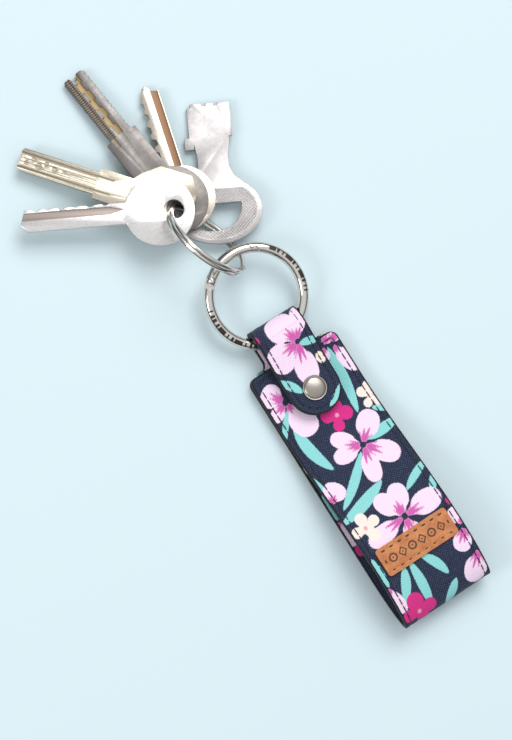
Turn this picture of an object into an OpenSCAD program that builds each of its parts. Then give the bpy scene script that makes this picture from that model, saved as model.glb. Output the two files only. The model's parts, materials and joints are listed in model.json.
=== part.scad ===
/* [Strap] */
// Width of the wrist strap
strap_w = 37.8; // [36:0.2:44]
// Height of the outer face at the crown of the wrist loop
crown_h = 16.5; // [12:0.5:22]
// Thickness of the printed outer ply
outer_ply_t = 1.0; // [0.6:0.1:1.2]
// Thickness of the printed inner ply
inner_ply_t = 0.9; // [0.6:0.1:1.0]
// Width of the neck and of the flap that folds over the ring
neck_w = 20; // [16:1:24]

/* [Flap and snap] */
// Distance of the snap fastener below the ring's wire
snap_down = 22.3; // [18:0.1:28]
// Diameter of the snap's outer cap
cap_d = 9.4; // [8:0.1:12]

/* [Label] */
// Width of the leather label
label_w = 30.8; // [24:0.2:31]
// Height of the leather label
label_h = 11; // [8:0.5:14]
// Thickness of the leather label
label_t = 1.1; // [0.8:0.1:1.6]

/* [Gate ring] */
// Radius of the gate ring's wire centre line
ring_r = 18; // [17.5:0.1:18.5]
// Radius of the gate ring's round wire
wire_r = 2; // [1.8:0.1:2]

/* [Split ring] */
// Outer diameter of the split ring
split_d = 35.4; // [35.2:0.1:35.6]
// Width of the split ring's steel strip, across one coil
coil_w = 1.5; // [1.2:0.1:1.5]
// Height of the split ring's steel strip, along the ring's radius
coil_h = 1.8; // [1.5:0.1:1.8]

/* [Keys] */
// Thickness of the key heads and blades
key_t = 1.8; // [1.4:0.1:1.8]
// Distance from one key's plane to the next
key_pitch = 2.2; // [2.2:0.1:2.4]

/* [Hidden] */
$fn = 64;
eps = 0.01;

navy = "#26304A";
pink = "#E9B9DC";
thread_black = "#1E1E22";
tan_leather = "#C77A44";
nickel = "#C9C5BE";

// Side view of the strap, along Y and Z: the line where the two plies are glued
fold_in_r = 4.1;                                  // room for the ring's wire inside the fold
fold_y = 1.8;                                     // centre of the fold
fold_r = fold_in_r + inner_ply_t;                 // radius of the glue line round the fold
fold_z = fold_r + outer_ply_t;
front_end_y = -7.5;                               // top end of the front layer, at the shoulders
front_z = 4.0;                                    // glue line of the front layer where it is snapped down
crown_y = -92;
crown_z = crown_h - outer_ply_t;
nose_len = 22;
nose_mid_z = (crown_z + outer_ply_t) / 2;
nose_rise = (crown_z - outer_ply_t) / 2;
flap_gap = 0.15;
flap_end_y = -snap_down - neck_w / 2;
flap_low_y = -snap_down + 5.5;
front_rise_y = -snap_down - 5;                    // the front layer starts to rise here
flap_z = front_z + outer_ply_t + 3.1;             // glue line of the flap over the snap
shoulder_r = 3;
fillet_r = 3.5;
seam_in = 2.3;                                    // distance of the seams inside each edge
thread_w = 0.4;
thread_t = 0.2;
label_y = -89.6;
label_seam_in = 1.6;
post_r = 1.2;
post_gap = 0.05;

function smooth(t) = t * t * (3 - 2 * t);
function front_line(y) =
    y > front_rise_y ? front_z
    : y > crown_y ? front_z + (crown_z - front_z) * smooth((front_rise_y - y) / (front_rise_y - crown_y))
    : nose_mid_z + nose_rise * sqrt(1 - pow((crown_y - y) / nose_len, 2));
function flap_line(y) =
    y < flap_low_y ? flap_z
    : flap_z + (fold_z + fold_r - flap_z) * smooth((y - flap_low_y) / (fold_y - flap_low_y));

function front_path() = [for (i = [0:36])
    let (y = front_end_y + (crown_y - front_end_y) * i / 36) [y, front_line(y)]];
function nose_path() = [for (i = [1:32]) let (a = 180 * i / 32)
    [crown_y - nose_len * sin(a), nose_mid_z + nose_rise * cos(a)]];
function back_path() = [for (i = [1:6]) [crown_y + (fold_y - crown_y) * i / 6, outer_ply_t]];
function fold_path() = [for (i = [1:16]) let (a = -90 + 180 * i / 16)
    [fold_y + fold_r * cos(a), fold_z + fold_r * sin(a)]];
function strap_path() = concat(front_path(), nose_path(), back_path(), fold_path());
function flap_path() = [for (i = [0:24]) let (y = fold_y - flap_gap + (flap_end_y - 1 - fold_y) * i / 24)
    [y, flap_line(y)]];

// Unit normal of a path at point i, on the left of the way it runs
function path_normal(p, i) =
    let (a = p[max(i - 1, 0)], b = p[min(i + 1, len(p) - 1)], d = b - a) [d[1], -d[0]] / norm(d);
function shifted(p, off) = [for (i = [0:len(p) - 1]) p[i] + off * path_normal(p, i)];
function reversed(p) = [for (i = [len(p) - 1:-1:0]) p[i]];

// A layer that follows a side path, from one offset to another, across the given width
module layer(p, low, high, width) {
    rotate([90, 0, 90])
        linear_extrude(height = width, center = true)
            polygon(concat(shifted(p, low), reversed(shifted(p, high))));
}

module strap_outline(inset) {
    half = strap_w / 2 - inset;
    neck = neck_w / 2 - inset;
    top = front_end_y - inset;
    union() {
        translate([-half, -150]) square([2 * half, 150 + top - shoulder_r]);
        translate([-half + shoulder_r, top - shoulder_r - eps])
            square([2 * (half - shoulder_r), shoulder_r + eps]);
        for (s = [-1, 1]) translate([s * (half - shoulder_r), top - shoulder_r]) circle(r = shoulder_r);
        translate([-neck, top - 5]) square([2 * neck, 30]);
        for (s = [-1, 1])
            difference() {
                translate([s * (neck + fillet_r / 2), top + fillet_r / 2 - eps])
                    square(fillet_r + 2 * eps, center = true);
                translate([s * (neck + fillet_r), top + fillet_r]) circle(r = fillet_r);
            }
    }
}

module flap_outline(inset) {
    half = neck_w / 2 - inset;
    translate([0, -snap_down]) circle(r = half);
    translate([-half, -snap_down]) square([2 * half, snap_down + 10]);
}

module upright(height = 60) {
    translate([0, 0, -height / 2]) linear_extrude(height = height) children();
}

module post_hole(low, high) {
    translate([0, -snap_down, low]) cylinder(r = post_r + post_gap, h = high - low);
}

module strap_outer_ply() {
    color(navy) difference() {
        intersection() {
            layer(strap_path(), 0, outer_ply_t, strap_w + 2);
            upright() strap_outline(0);
        }
        post_hole(front_z - 0.5, front_z + outer_ply_t + 1);
    }
}

module strap_inner_ply() {
    color(pink) difference() {
        intersection() {
            layer(strap_path(), -inner_ply_t, 0, strap_w + 2);
            upright() strap_outline(0);
        }
        post_hole(front_z - inner_ply_t - 0.5, front_z + 0.5);
    }
}

// Stitching just inside the edges: on the outer face from the front end round the nose,
// on the outside of the fold, and on the inner face all the way
module strap_seams() {
    outer_run = concat(front_path(), [for (i = [0:23]) nose_path()[i]]);
    fold_run = [for (i = [5:15]) fold_path()[i]];
    color(thread_black) {
        intersection() {
            layer(outer_run, outer_ply_t, outer_ply_t + thread_t, strap_w);
            upright() for (s = [-1, 1])
                translate([s * (strap_w / 2 - seam_in), -75])
                    square([thread_w, 150 - 2 * seam_in], center = true);
        }
        intersection() {
            layer(front_path(), outer_ply_t, outer_ply_t + thread_t, strap_w - 2 * seam_in);
            upright() translate([0, front_end_y - seam_in])
                square([strap_w, thread_w], center = true);
        }
        intersection() {
            layer(fold_run, outer_ply_t, outer_ply_t + thread_t, neck_w);
            upright() for (s = [-1, 1])
                translate([s * (neck_w / 2 - seam_in), 0]) square([thread_w, 60], center = true);
        }
        intersection() {
            layer(strap_path(), -inner_ply_t - thread_t, -inner_ply_t, strap_w);
            upright() for (s = [-1, 1])
                translate([s * (strap_w / 2 - seam_in), -84]) square([thread_w, 150], center = true);
        }
    }
}

module label_outline(inset) {
    w = label_w - 2 * inset;
    h = label_h - 2 * inset;
    r = 1;
    translate([0, label_y]) {
        square([w, h - 2 * r], center = true);
        square([w - 2 * r, h], center = true);
        for (x = [-1, 1], y = [-1, 1]) translate([x * (w / 2 - r), y * (h / 2 - r)]) circle(r = r);
    }
}

function label_path() = [for (i = [0:12])
    let (y = label_y + label_h / 2 + 0.5 - (label_h + 1) * i / 12) [y, front_line(y)]];

module label() {
    color(tan_leather) intersection() {
        layer(label_path(), outer_ply_t + 0.03, outer_ply_t + label_t, label_w + 2);
        upright() label_outline(0);
    }
}

module label_seam() {
    top = outer_ply_t + label_t;
    color("#3A2418") intersection() {
        layer(label_path(), top, top + 0.15, label_w + 2);
        upright() difference() {
            label_outline(label_seam_in - 0.2);
            label_outline(label_seam_in + 0.2);
        }
    }
}

module on_snap(z) {
    translate([0, -snap_down, z]) children();
}

// Back half of the snap: a plate under the front layer, with the post that goes through it
module snap_post() {
    plate_t = 0.7;
    color(nickel) on_snap(front_z - inner_ply_t) {
        translate([0, 0, -plate_t]) cylinder(d = 8, h = plate_t);
        translate([0, 0, -eps]) cylinder(r = post_r, h = outer_ply_t + inner_ply_t + eps);
    }
}

module snap_stud() {
    color(nickel) on_snap(front_z + outer_ply_t) rotate_extrude()
        polygon([[0, 0], [4, 0], [4, 0.25], [3.6, 0.4], [1.5, 0.4],
                 [1.4, 1.0], [1.75, 1.4], [1.4, 1.8], [0, 1.8]]);
}

module snap_socket() {
    // Ring under the flap that grips the stud's head
    color(nickel) on_snap(flap_z - inner_ply_t) rotate_extrude()
        polygon([[1.9, 0], [4, 0], [4, -0.4], [3.6, -1.6], [2.1, -1.6], [1.9, -1.4]]);
}

module snap_cap() {
    rim = 0.5;
    dome_r = 11;
    color(nickel) on_snap(flap_z + outer_ply_t) {
        intersection() {
            cylinder(d = cap_d, h = 3);
            translate([0, 0, rim + 1.1 - dome_r]) sphere(r = dome_r);
        }
        translate([0, 0, -outer_ply_t - inner_ply_t])
            cylinder(r = post_r, h = outer_ply_t + inner_ply_t + eps);
    }
}

module flap_outer_ply() {
    color(navy) difference() {
        intersection() {
            layer(flap_path(), 0, outer_ply_t, neck_w + 2);
            upright() flap_outline(0);
        }
        post_hole(flap_z - 1, flap_z + outer_ply_t + 1);
    }
}

module flap_inner_ply() {
    color(pink) difference() {
        intersection() {
            layer(flap_path(), -inner_ply_t, 0, neck_w + 2);
            upright() flap_outline(0);
        }
        post_hole(flap_z - inner_ply_t - 1, flap_z + 1);
    }
}

module flap_seams() {
    color(thread_black) for (low = [outer_ply_t, -inner_ply_t - thread_t])
        intersection() {
            layer(flap_path(), low, low + thread_t, neck_w);
            upright() difference() {
                flap_outline(seam_in - thread_w / 2);
                flap_outline(seam_in + thread_w / 2);
            }
        }
}

// Gate ring, drawn about its own centre in its own plane
ring_tilt = 9;                                    // far side raised where it lies on the split ring
ring_off = ring_r - fold_y;                       // from the pivot in the fold to the ring's centre
hinge_a = 131;                                    // where the gate's pin is, round the ring
body_a = 141;                                     // where the body's full wire starts
mouth_a = 75;                                     // the body's wire runs to here before its end is cut
hinge_gap = 0.1;
tongue_h = 0.75;                                  // half height of the body's tongue at the hinge
tongue_r = wire_r - 0.25;
pin_r = 0.7;
mouth_heading = 7.5;                              // from the hinge to the mouth
near_reach = 2 * ring_r * sin((hinge_a - 68) / 2); // the gate's outer half ends here, from the hinge
far_reach = 2 * ring_r * sin((hinge_a - 61) / 2);  // its inner half reaches on to here
mouth_gap = 0.4;

module ring_place() {
    translate([0, fold_y, fold_z]) rotate([ring_tilt, 0, 0]) translate([0, ring_off, 0]) children();
}

module wire_arc(from, to) {
    rotate([0, 0, from]) rotate_extrude(angle = to - from) translate([ring_r, 0]) circle(r = wire_r);
}

module at_hinge() {
    rotate([0, 0, hinge_a]) translate([ring_r, 0, 0]) children();
}

// Drawn from the hinge, with X towards the mouth where the gate closes
module at_mouth() {
    at_hinge() rotate([0, 0, mouth_heading - hinge_a]) children();
}

// A block that covers the wire from one angle to another, between two heights
module wedge(from, to, low, high) {
    rotate([0, 0, from]) rotate_extrude(angle = to - from)
        translate([ring_r - 2 * wire_r, low]) square([4 * wire_r, high - low]);
}

// One length of wire: forked down to a round tongue at the hinge, and stepped where it meets the gate
module ring_body() {
    color(nickel) ring_place() difference() {
        wire_arc(hinge_a - 8, 360 + mouth_a);
        wedge(hinge_a - 9, body_a, tongue_h, 4);
        wedge(hinge_a - 9, body_a, -4, -tongue_h);
        difference() {
            wedge(hinge_a - 9, hinge_a, -5, 5);
            at_hinge() cylinder(r = tongue_r, h = 12, center = true);
        }
        at_hinge() cylinder(r = pin_r + 0.02, h = 12, center = true);
        at_mouth() {
            translate([near_reach - 8, -6, -5]) cube([8 + mouth_gap, 12, 10]);
            translate([near_reach - 8, -6, -5]) cube([8 + far_reach - near_reach + mouth_gap, 6.2, 10]);
        }
    }
}

module gate_hinge_pin() {
    color(nickel) ring_place() at_hinge() rotate_extrude()
        polygon([[0, -2.35], [0.7, -2.2], [1.2, -1.9], [1.3, -1.65], [pin_r, -1.65],
                 [pin_r, 1.65], [1.3, 1.65], [1.2, 1.9], [0.7, 2.2], [0, 2.35]]);
}

// Spring leaf that curls round the end of the body's tongue and pushes the gate shut
module gate_spring() {
    color("silver") ring_place() at_hinge() rotate([0, 0, 205]) rotate_extrude(angle = 130)
        translate([wire_r + 0.02, -0.5]) square([0.16, 1]);
}

module gate() {
    color(nickel) ring_place() difference() {
        wire_arc(52, body_a);
        at_mouth() {
            translate([near_reach, 0, -5]) cube([12, 6, 10]);
            translate([far_reach, -6, -5]) cube([12, 12, 10]);
        }
        difference() {
            wedge(hinge_a, body_a + 1, -5, 5);
            at_hinge() cylinder(r = wire_r - 0.05, h = 12, center = true);
        }
        at_hinge() {
            cylinder(r = wire_r + 0.4, h = 2 * (tongue_h + hinge_gap), center = true);
            cylinder(r = pin_r + 0.05, h = 6, center = true);
            for (s = [-1, 1]) translate([0, 0, s * 2.55]) cylinder(r = 1.4, h = 2, center = true);
        }
    }
}

// Split ring: one strip wound into two coils side by side, drawn in its own plane
split_at = [-6.2, 44.4, 16.0];
split_turn = 109.1;                               // heading of its level diameter
split_lean = 60;                                  // how far it stands up from the table
split_r = split_d / 2 - coil_h / 2;
coil_gap = 0.06;
cross_a = 25;                                     // half of the stretch where the strip steps across

function coil_side(a) =
    let (t = min(max((a - 360 + cross_a) / (2 * cross_a), 0), 1))
    (coil_w + coil_gap) / 2 * (2 * smooth(t) - 1);
function coil_section() = let (w = coil_w / 2, h = coil_h / 2, c = 0.35)
    [[h, w - c], [h - c, w], [c - h, w], [-h, w - c], [-h, c - w], [c - h, -w], [h - c, -w], [h, c - w]];
function coil_ring(a) = [for (q = coil_section())
    [(split_r + q[0]) * cos(a), (split_r + q[0]) * sin(a), coil_side(a) + q[1]]];

module split_place() {
    translate(split_at) rotate([0, 0, split_turn]) rotate([split_lean, 0, 0]) children();
}

module split_ring() {
    first = cross_a;
    last = 720 - cross_a;
    steps = 134;
    sides = 8;
    points = [for (i = [0:steps]) each coil_ring(first + (last - first) * i / steps)];
    walls = [for (i = [0:steps - 1], k = [0:sides - 1])
        [i * sides + k, i * sides + (k + 1) % sides, (i + 1) * sides + (k + 1) % sides, (i + 1) * sides + k]];
    start_cap = [for (k = [sides - 1:-1:0]) k];
    end_cap = [for (k = [0:sides - 1]) steps * sides + k];
    color(nickel) split_place() rotate([0, 0, 205]) polyhedron(points, concat([start_cap, end_cap], walls));
}

// Keys: parallel planes that fall towards the tips, the lowest one first. Each is drawn about the
// axis that it turns on, with its blade along X
key_fall = 6;
key_fall_heading = 112;
key_low_z = 4.0;
function key_z(i) = key_low_z + i * key_pitch;
// Where the split ring's centre line passes height z, on the side away from the gate ring
function split_crossing(z) =
    let (s = (z - split_at[2]) / (split_r * sin(split_lean)), c = sqrt(1 - s * s))
    [split_at[0] + split_r * (c * cos(split_turn) - s * cos(split_lean) * sin(split_turn)),
     split_at[1] + split_r * (c * sin(split_turn) + s * cos(split_lean) * cos(split_turn)), z];

module key_place(z, heading, fall = key_fall) {
    translate(split_crossing(z)) rotate([0, 0, key_fall_heading]) rotate([0, fall, 0])
        rotate([0, 0, heading - key_fall_heading]) children();
}

module slab(t = key_t) {
    translate([0, 0, -t / 2]) linear_extrude(height = t) children();
}

module key_hole(d) {
    cylinder(d = d, h = 3 * key_t, center = true);
}

module long_groove(from, to, y, w, depth) {
    for (s = [-1, 1])
        translate([from, y - w / 2, s * (key_t - depth) - key_t / 2]) cube([to - from, w, key_t]);
}

module round_head_key() {
    head_r = 13;
    tip = 56.3;
    color("#F2F0EC") key_place(key_z(4), 152.8) difference() {
        slab() {
            translate([5.3, 0]) circle(r = head_r);
            polygon([[10, -4.1], [tip - 1.8, -4.1], [tip, 1.4], [tip - 2.8, 4], [10, 4]]);
        }
        for (c = [[25, 0.5], [30.5, 0.9], [36, 0.4], [41, 0.9], [46, 0.6], [50.5, 0.8]])
            translate([c[0], -4.1, 0])
                slab(6) polygon([[-1.8, -0.4], [-0.5, c[1]], [0.5, c[1]], [1.8, -0.4]]);
        key_hole(7.2);
        pointed_groove(18.5, tip + 1, -1.5, 2.6, 0.5);
    }
}

module dimple_key() {
    shank = 31;
    tip = 60.5;
    color("#CFC8B4") key_place(key_z(3), 129.6) difference() {
        slab() {
            polygon([[-5.5, -7.5], [-1.5, -13.5], [10.5, -13.5], [16.5, -8.5], [18.5, -5.9],
                     [shank, -5.9], [shank, -4.2], [tip - 0.8, -4.2], [tip, -3.4],
                     [tip, 3.4], [tip - 0.8, 4.2], [shank, 4.2], [shank, 5.9],
                     [18.5, 5.9], [16.5, 8.5], [10.5, 13.5], [-1.5, 13.5], [-5.5, 7.5]]);
        }
        key_hole(8);
        for (y = [-2.6, 2.9]) long_groove(shank - 6, tip + 1, y, 0.7, 0.35);
        for (d = [[53, 0.9, 1.3], [50.5, -0.9, 0.9], [55.5, -1.1, 0.9],
                  [47, 0.2, 1.1], [57.8, 0.6, 0.8], [43.5, 0.2, 0.7]], s = [-1, 1])
            translate([d[0], d[1], s * (key_t / 2 + 0.1)]) cylinder(r = d[2], h = 0.9, center = true);
    }
}

module security_key() {
    shank = 35.5;
    tip = 64.2;
    color("#6E6A68") key_place(key_z(2), 95.9) difference() {
        slab() {
            translate([4.6, 0]) circle(r = 13);
            difference() {
                polygon([[12, -6.4], [shank, -6.4], [shank, -4.6], [tip - 1, -4.6], [tip, -3.4],
                         [tip, -1.2], [tip - 2.2, -0.2], [tip - 1.6, 1.4], [tip, 2.0], [tip, 3.8],
                         [tip - 1, 4.6], [shank, 4.6], [shank, 6.4], [12, 6.4]]);
                for (i = [0:12])
                    translate([shank + 3 + 1.9 * i, -4.6]) rotate([0, 0, 45]) square(0.8, center = true);
            }
        }
        key_hole(8);
        for (i = [0:6])
            long_groove(shank + 1 + 4 * i, shank + 5.1 + 4 * i, i % 2 == 0 ? -0.5 : 0.4, 2.0, 0.45);
        long_groove(shank - 3, tip + 1, 2.9, 0.7, 0.35);
    }
}

module narrow_key() {
    tip = 49.6;
    color("#D8D2C8") key_place(key_z(1), 74.9) difference() {
        slab() {
            translate([5.2, 0]) circle(r = 12.4);
            difference() {
                polygon([[14, -4], [tip - 2.6, -4], [tip - 2, -1], [tip - 0.6, -0.4],
                         [tip, 0.8], [tip - 0.6, 1.9], [tip - 2.6, 2.6], [tip - 5.5, 4], [14, 4]]);
                for (c = [[23, 1.4], [28, 1.8], [33, 1.1], [38, 1.7], [42.3, 1.3]])
                    translate([c[0], 4.2]) polygon([[-2, 0.2], [-0.9, -c[1]], [0.9, -c[1]], [2, 0.2]]);
            }
        }
        key_hole(8.8);
        long_groove(17, tip + 1, -2.2, 2.6, 0.5);
    }
}

// A groove on both faces that runs out to a point at its head end
module pointed_groove(from, to, y, w, depth) {
    taper = 5;
    for (s = [-1, 1])
        translate([0, 0, s * (key_t - depth)])
            slab() polygon([[from, y], [from + taper, y - w / 2], [to, y - w / 2], [to, y + w / 2],
                            [from + taper, y + w / 2]]);
}

// Big flat key with an open bow; the bow's centre lies beside the turning axis
flat_bow = [1, -9];
module flat_key() {
    neck = 16.5;
    lock = 26.5;
    tip = 41;
    color("#DCD8D8") key_place(key_z(0), 62.5) translate(flat_bow) difference() {
        slab() {
            intersection() {
                scale([0.76, 1]) circle(r = 16.7);
                translate([-20, -20]) square([32, 40]);
            }
            polygon([[4, -14], [9, -11.5], [neck - 3.5, -7.2], [neck, -5.8], [neck + 4, -5.7], [lock, -6.75],
                     [tip, -6.75], [tip, 6.75], [lock, 6.75], [neck + 4, 5.7], [neck, 5.8], [neck - 3.5, 7.2],
                     [9, 11.5], [4, 14]]);
            translate([lock + 1.5, -8.1]) square([tip - lock - 1.5, 2]);
            translate([lock - 1, 6.1]) square([tip - lock - 0.5, 2]);
            translate([lock - 3, 6.5]) square([4.5, 3.4]);
        }
        difference() {
            slab(9) translate([1.5, 2]) scale([0.86, 1]) circle(r = 11);
            translate([2.6, -15, -10]) cube([20, 30, 20]);
        }
        for (y = [-3.2, 1.2]) translate([tip - 1, y, -5]) cube([3, 1.2, 10]);
    }
}

strap_outer_ply();
strap_inner_ply();
strap_seams();
label();
label_seam();
snap_stud();
snap_post();
flap_outer_ply();
flap_inner_ply();
flap_seams();
snap_cap();
snap_socket();
ring_body();
gate_hinge_pin();
gate_spring();
gate();
split_ring();
round_head_key();
dimple_key();
security_key();
narrow_key();
flat_key();
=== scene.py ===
"""Wristlet keychain: a printed strap with a snap flap, a leather label, a spring-gate ring and five keys.

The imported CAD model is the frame. Every fabric, leather and metal surface gets its looks here, in metres,
in the same frame as the CAD. Sizes in the classes are in millimetres.
"""

import json
import logging
import math
from dataclasses import dataclass, field
from enum import Enum
from typing import Callable

import bmesh
import bpy
import numpy as np
from mathutils import Matrix, Vector


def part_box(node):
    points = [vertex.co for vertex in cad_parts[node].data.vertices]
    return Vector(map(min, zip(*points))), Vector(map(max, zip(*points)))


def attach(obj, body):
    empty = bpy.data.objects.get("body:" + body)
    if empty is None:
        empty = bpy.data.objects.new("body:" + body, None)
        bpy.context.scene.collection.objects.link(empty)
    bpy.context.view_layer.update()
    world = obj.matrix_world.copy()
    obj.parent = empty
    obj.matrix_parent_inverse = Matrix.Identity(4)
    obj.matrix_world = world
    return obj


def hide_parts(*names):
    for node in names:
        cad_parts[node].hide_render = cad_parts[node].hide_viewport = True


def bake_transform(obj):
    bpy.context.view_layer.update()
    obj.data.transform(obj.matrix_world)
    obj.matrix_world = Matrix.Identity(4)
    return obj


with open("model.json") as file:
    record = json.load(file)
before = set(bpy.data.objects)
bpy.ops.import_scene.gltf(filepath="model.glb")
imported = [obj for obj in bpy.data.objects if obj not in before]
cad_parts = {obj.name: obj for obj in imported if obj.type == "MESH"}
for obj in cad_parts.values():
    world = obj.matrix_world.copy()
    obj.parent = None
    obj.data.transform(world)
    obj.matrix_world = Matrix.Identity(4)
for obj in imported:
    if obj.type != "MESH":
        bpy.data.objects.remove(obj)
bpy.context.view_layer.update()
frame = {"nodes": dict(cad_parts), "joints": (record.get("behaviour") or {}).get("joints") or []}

MM = 0.001
LOG = logging.getLogger("keychain")
Array = np.ndarray


# ---------------------------------------------------------------- small tools

def linear(colour: str) -> tuple[float, float, float, float]:
    """Turns an sRGB hex colour into the linear colour that a shader takes.

    Args:
        colour: The colour as "#RRGGBB".

    Returns:
        Red, green, blue and alpha.
    """
    parts = [int(colour[i:i + 2], 16) / 255 for i in (1, 3, 5)]
    red, green, blue = (c / 12.92 if c <= 0.04045 else ((c + 0.055) / 1.055) ** 2.4 for c in parts)
    return red, green, blue, 1.0


def add_node(tree: bpy.types.NodeTree, kind: str, settings: dict | None = None,
             inputs: dict | None = None) -> bpy.types.Node:
    """Adds a node, sets its properties, and fills or links its inputs.

    Args:
        tree: The material's node tree.
        kind: The node's type name, without the "ShaderNode" in front.
        settings: Properties of the node.
        inputs: Values for its inputs by name or number; an output socket is linked.

    Returns:
        The new node.
    """
    node = tree.nodes.new("ShaderNode" + kind)
    for key, value in (settings or {}).items():
        setattr(node, key, value)
    for key, value in (inputs or {}).items():
        if isinstance(value, bpy.types.NodeSocket):
            tree.links.new(value, node.inputs[key])
        else:
            node.inputs[key].default_value = value
    return node


def calc(tree: bpy.types.NodeTree, operation: str, *values: object) -> bpy.types.NodeSocket:
    """Adds a Math node for one operation and returns its result."""
    return add_node(tree, "Math", {"operation": operation}, dict(enumerate(values))).outputs[0]


def remap(tree: bpy.types.NodeTree, *values: object) -> bpy.types.NodeSocket:
    """Adds a MapRange node. The values are the input, the range it has, and the range it gets."""
    return add_node(tree, "MapRange", None, dict(enumerate(values))).outputs[0]


def mix_colour(tree: bpy.types.NodeTree, share: object, first: object,
               second: object) -> bpy.types.NodeSocket:
    """Adds a node that mixes two colours and returns the result."""
    return add_node(tree, "Mix", {"data_type": "RGBA"}, {0: share, 6: first, 7: second}).outputs[2]


def select_only(piece: bpy.types.Object) -> None:
    """Makes one object the selected and active one."""
    bpy.ops.object.select_all(action="DESELECT")
    piece.select_set(True)
    bpy.context.view_layer.objects.active = piece


def apply_modifier(piece: bpy.types.Object, kind: str, **settings: object) -> None:
    """Adds a modifier with its settings and applies it at once.

    Args:
        piece: The mesh object.
        kind: The modifier's type.
        **settings: Properties of the modifier.
    """
    select_only(piece)
    modifier = piece.modifiers.new(kind.title(), kind)
    for key, value in settings.items():
        setattr(modifier, key, value)
    bpy.ops.object.modifier_apply(modifier=modifier.name)


def smooth(piece: bpy.types.Object, degrees: float = 35) -> None:
    """Shades a piece smooth, apart from edges sharper than the given angle."""
    select_only(piece)
    bpy.ops.object.shade_smooth_by_angle(angle=math.radians(degrees))


def finish_piece(piece: bpy.types.Object, material: bpy.types.Material, body: str | None,
                 stands_for: tuple[str, ...] = ()) -> None:
    """Gives a piece its material, body and the CAD nodes that it stands for.

    Args:
        piece: The finished mesh object.
        material: Its finish.
        body: The CAD body that it moves with, or None to leave it unattached.
        stands_for: CAD nodes that it replaces.
    """
    piece.data.materials.clear()
    piece.data.materials.append(material)
    if body:
        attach(piece, body)
    if stands_for:
        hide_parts(*stands_for)
    LOG.info("%s: %d faces, rides on %s", piece.name, len(piece.data.polygons), body or "two bodies")


def join(pieces: list[bpy.types.Object], name: str) -> bpy.types.Object:
    """Joins copies into one named object.

    Args:
        pieces: The objects to join, each with its own mesh.
        name: The joined object's name.

    Returns:
        The joined object.
    """
    bpy.ops.object.select_all(action="DESELECT")
    for piece in pieces:
        piece.select_set(True)
    bpy.context.view_layer.objects.active = pieces[0]
    bpy.ops.object.join()
    pieces[0].name = name
    pieces[0].data.name = name
    return pieces[0]


def write_attribute(piece: bpy.types.Object, name: str, values: Array) -> None:
    """Stores one number or one vector for each vertex of a piece."""
    kind, key = ("FLOAT", "value") if values.ndim == 1 else ("FLOAT_VECTOR", "vector")
    attribute = piece.data.attributes.new(name, kind, "POINT")
    attribute.data.foreach_set(key, np.ascontiguousarray(values, dtype=np.float32).ravel())


def vertices(piece: bpy.types.Object) -> Array:
    """Returns a piece's vertices as rows of x, y and z, in metres."""
    co = np.empty(len(piece.data.vertices) * 3)
    piece.data.vertices.foreach_get("co", co)
    return co.reshape(-1, 3)


def move_vertices(piece: bpy.types.Object, co: Array) -> None:
    """Puts a piece's vertices at the given places, in metres."""
    piece.data.vertices.foreach_set("co", np.ascontiguousarray(co).ravel())
    piece.data.update()


def spin_profile(name: str, profile: list[tuple[float, float]], centre: Vector,
                 steps: int = 64) -> bpy.types.Object:
    """Turns a half profile round a vertical axis.

    Args:
        name: The piece's name.
        profile: Radius and height of each point, in millimetres, from the axis to the axis.
        centre: The axis's foot, in metres.
        steps: How many steps the turn takes.

    Returns:
        The closed round piece.
    """
    mesh = bpy.data.meshes.new(name)
    points = [(centre.x + r * MM, centre.y, centre.z + z * MM) for r, z in profile]
    mesh.from_pydata(points, [(i, i + 1) for i in range(len(points) - 1)], [])
    piece = bpy.data.objects.new(name, mesh)
    bpy.context.collection.objects.link(piece)
    select_only(piece)
    bpy.ops.object.mode_set(mode="EDIT")
    bpy.ops.mesh.select_all(action="SELECT")
    bpy.ops.mesh.spin(steps=steps, angle=math.tau, center=centre, axis=(0, 0, 1))
    bpy.ops.mesh.select_all(action="SELECT")
    bpy.ops.mesh.remove_doubles(threshold=1e-6)
    bpy.ops.mesh.normals_make_consistent(inside=False)
    bpy.ops.object.mode_set(mode="OBJECT")
    smooth(piece, 40)
    return piece


# ---------------------------------------------------------------- the strap's shape

@dataclass
class SidePath:
    """A line in the strap's side view, along which a ply or a seam runs.

    Attributes:
        points: Y and Z of each point, in millimetres.
    """

    points: Array
    run: Array = field(init=False)
    normals: Array = field(init=False)

    def __post_init__(self) -> None:
        """Works out the length along the line and its outward normals."""
        steps = np.linalg.norm(np.diff(self.points, axis=0), axis=1)
        self.run = np.concatenate([[0], np.cumsum(steps)])
        heading = np.gradient(self.points, axis=0)
        heading /= np.linalg.norm(heading, axis=1)[:, None]
        self.normals = np.stack([heading[:, 1], -heading[:, 0]], 1)

    @property
    def length(self) -> float:
        """The whole length of the line, in millimetres."""
        return float(self.run[-1])

    def at(self, distance: Array, offset: Array | float = 0) -> Array:
        """Finds Y and Z at distances along the line, moved outward.

        Args:
            distance: Distances from the line's start.
            offset: How far outward.

        Returns:
            One row of Y and Z for each distance.
        """
        place = np.stack([np.interp(distance, self.run, self.points[:, k]) for k in (0, 1)], 1)
        return place + np.reshape(offset, (-1, 1)) * self.normal(distance)

    def normal(self, distance: Array) -> Array:
        """Returns the outward normal's Y and Z at each distance."""
        normal = np.stack([np.interp(distance, self.run, self.normals[:, k]) for k in (0, 1)], 1)
        return normal / np.linalg.norm(normal, axis=1)[:, None]


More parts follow.
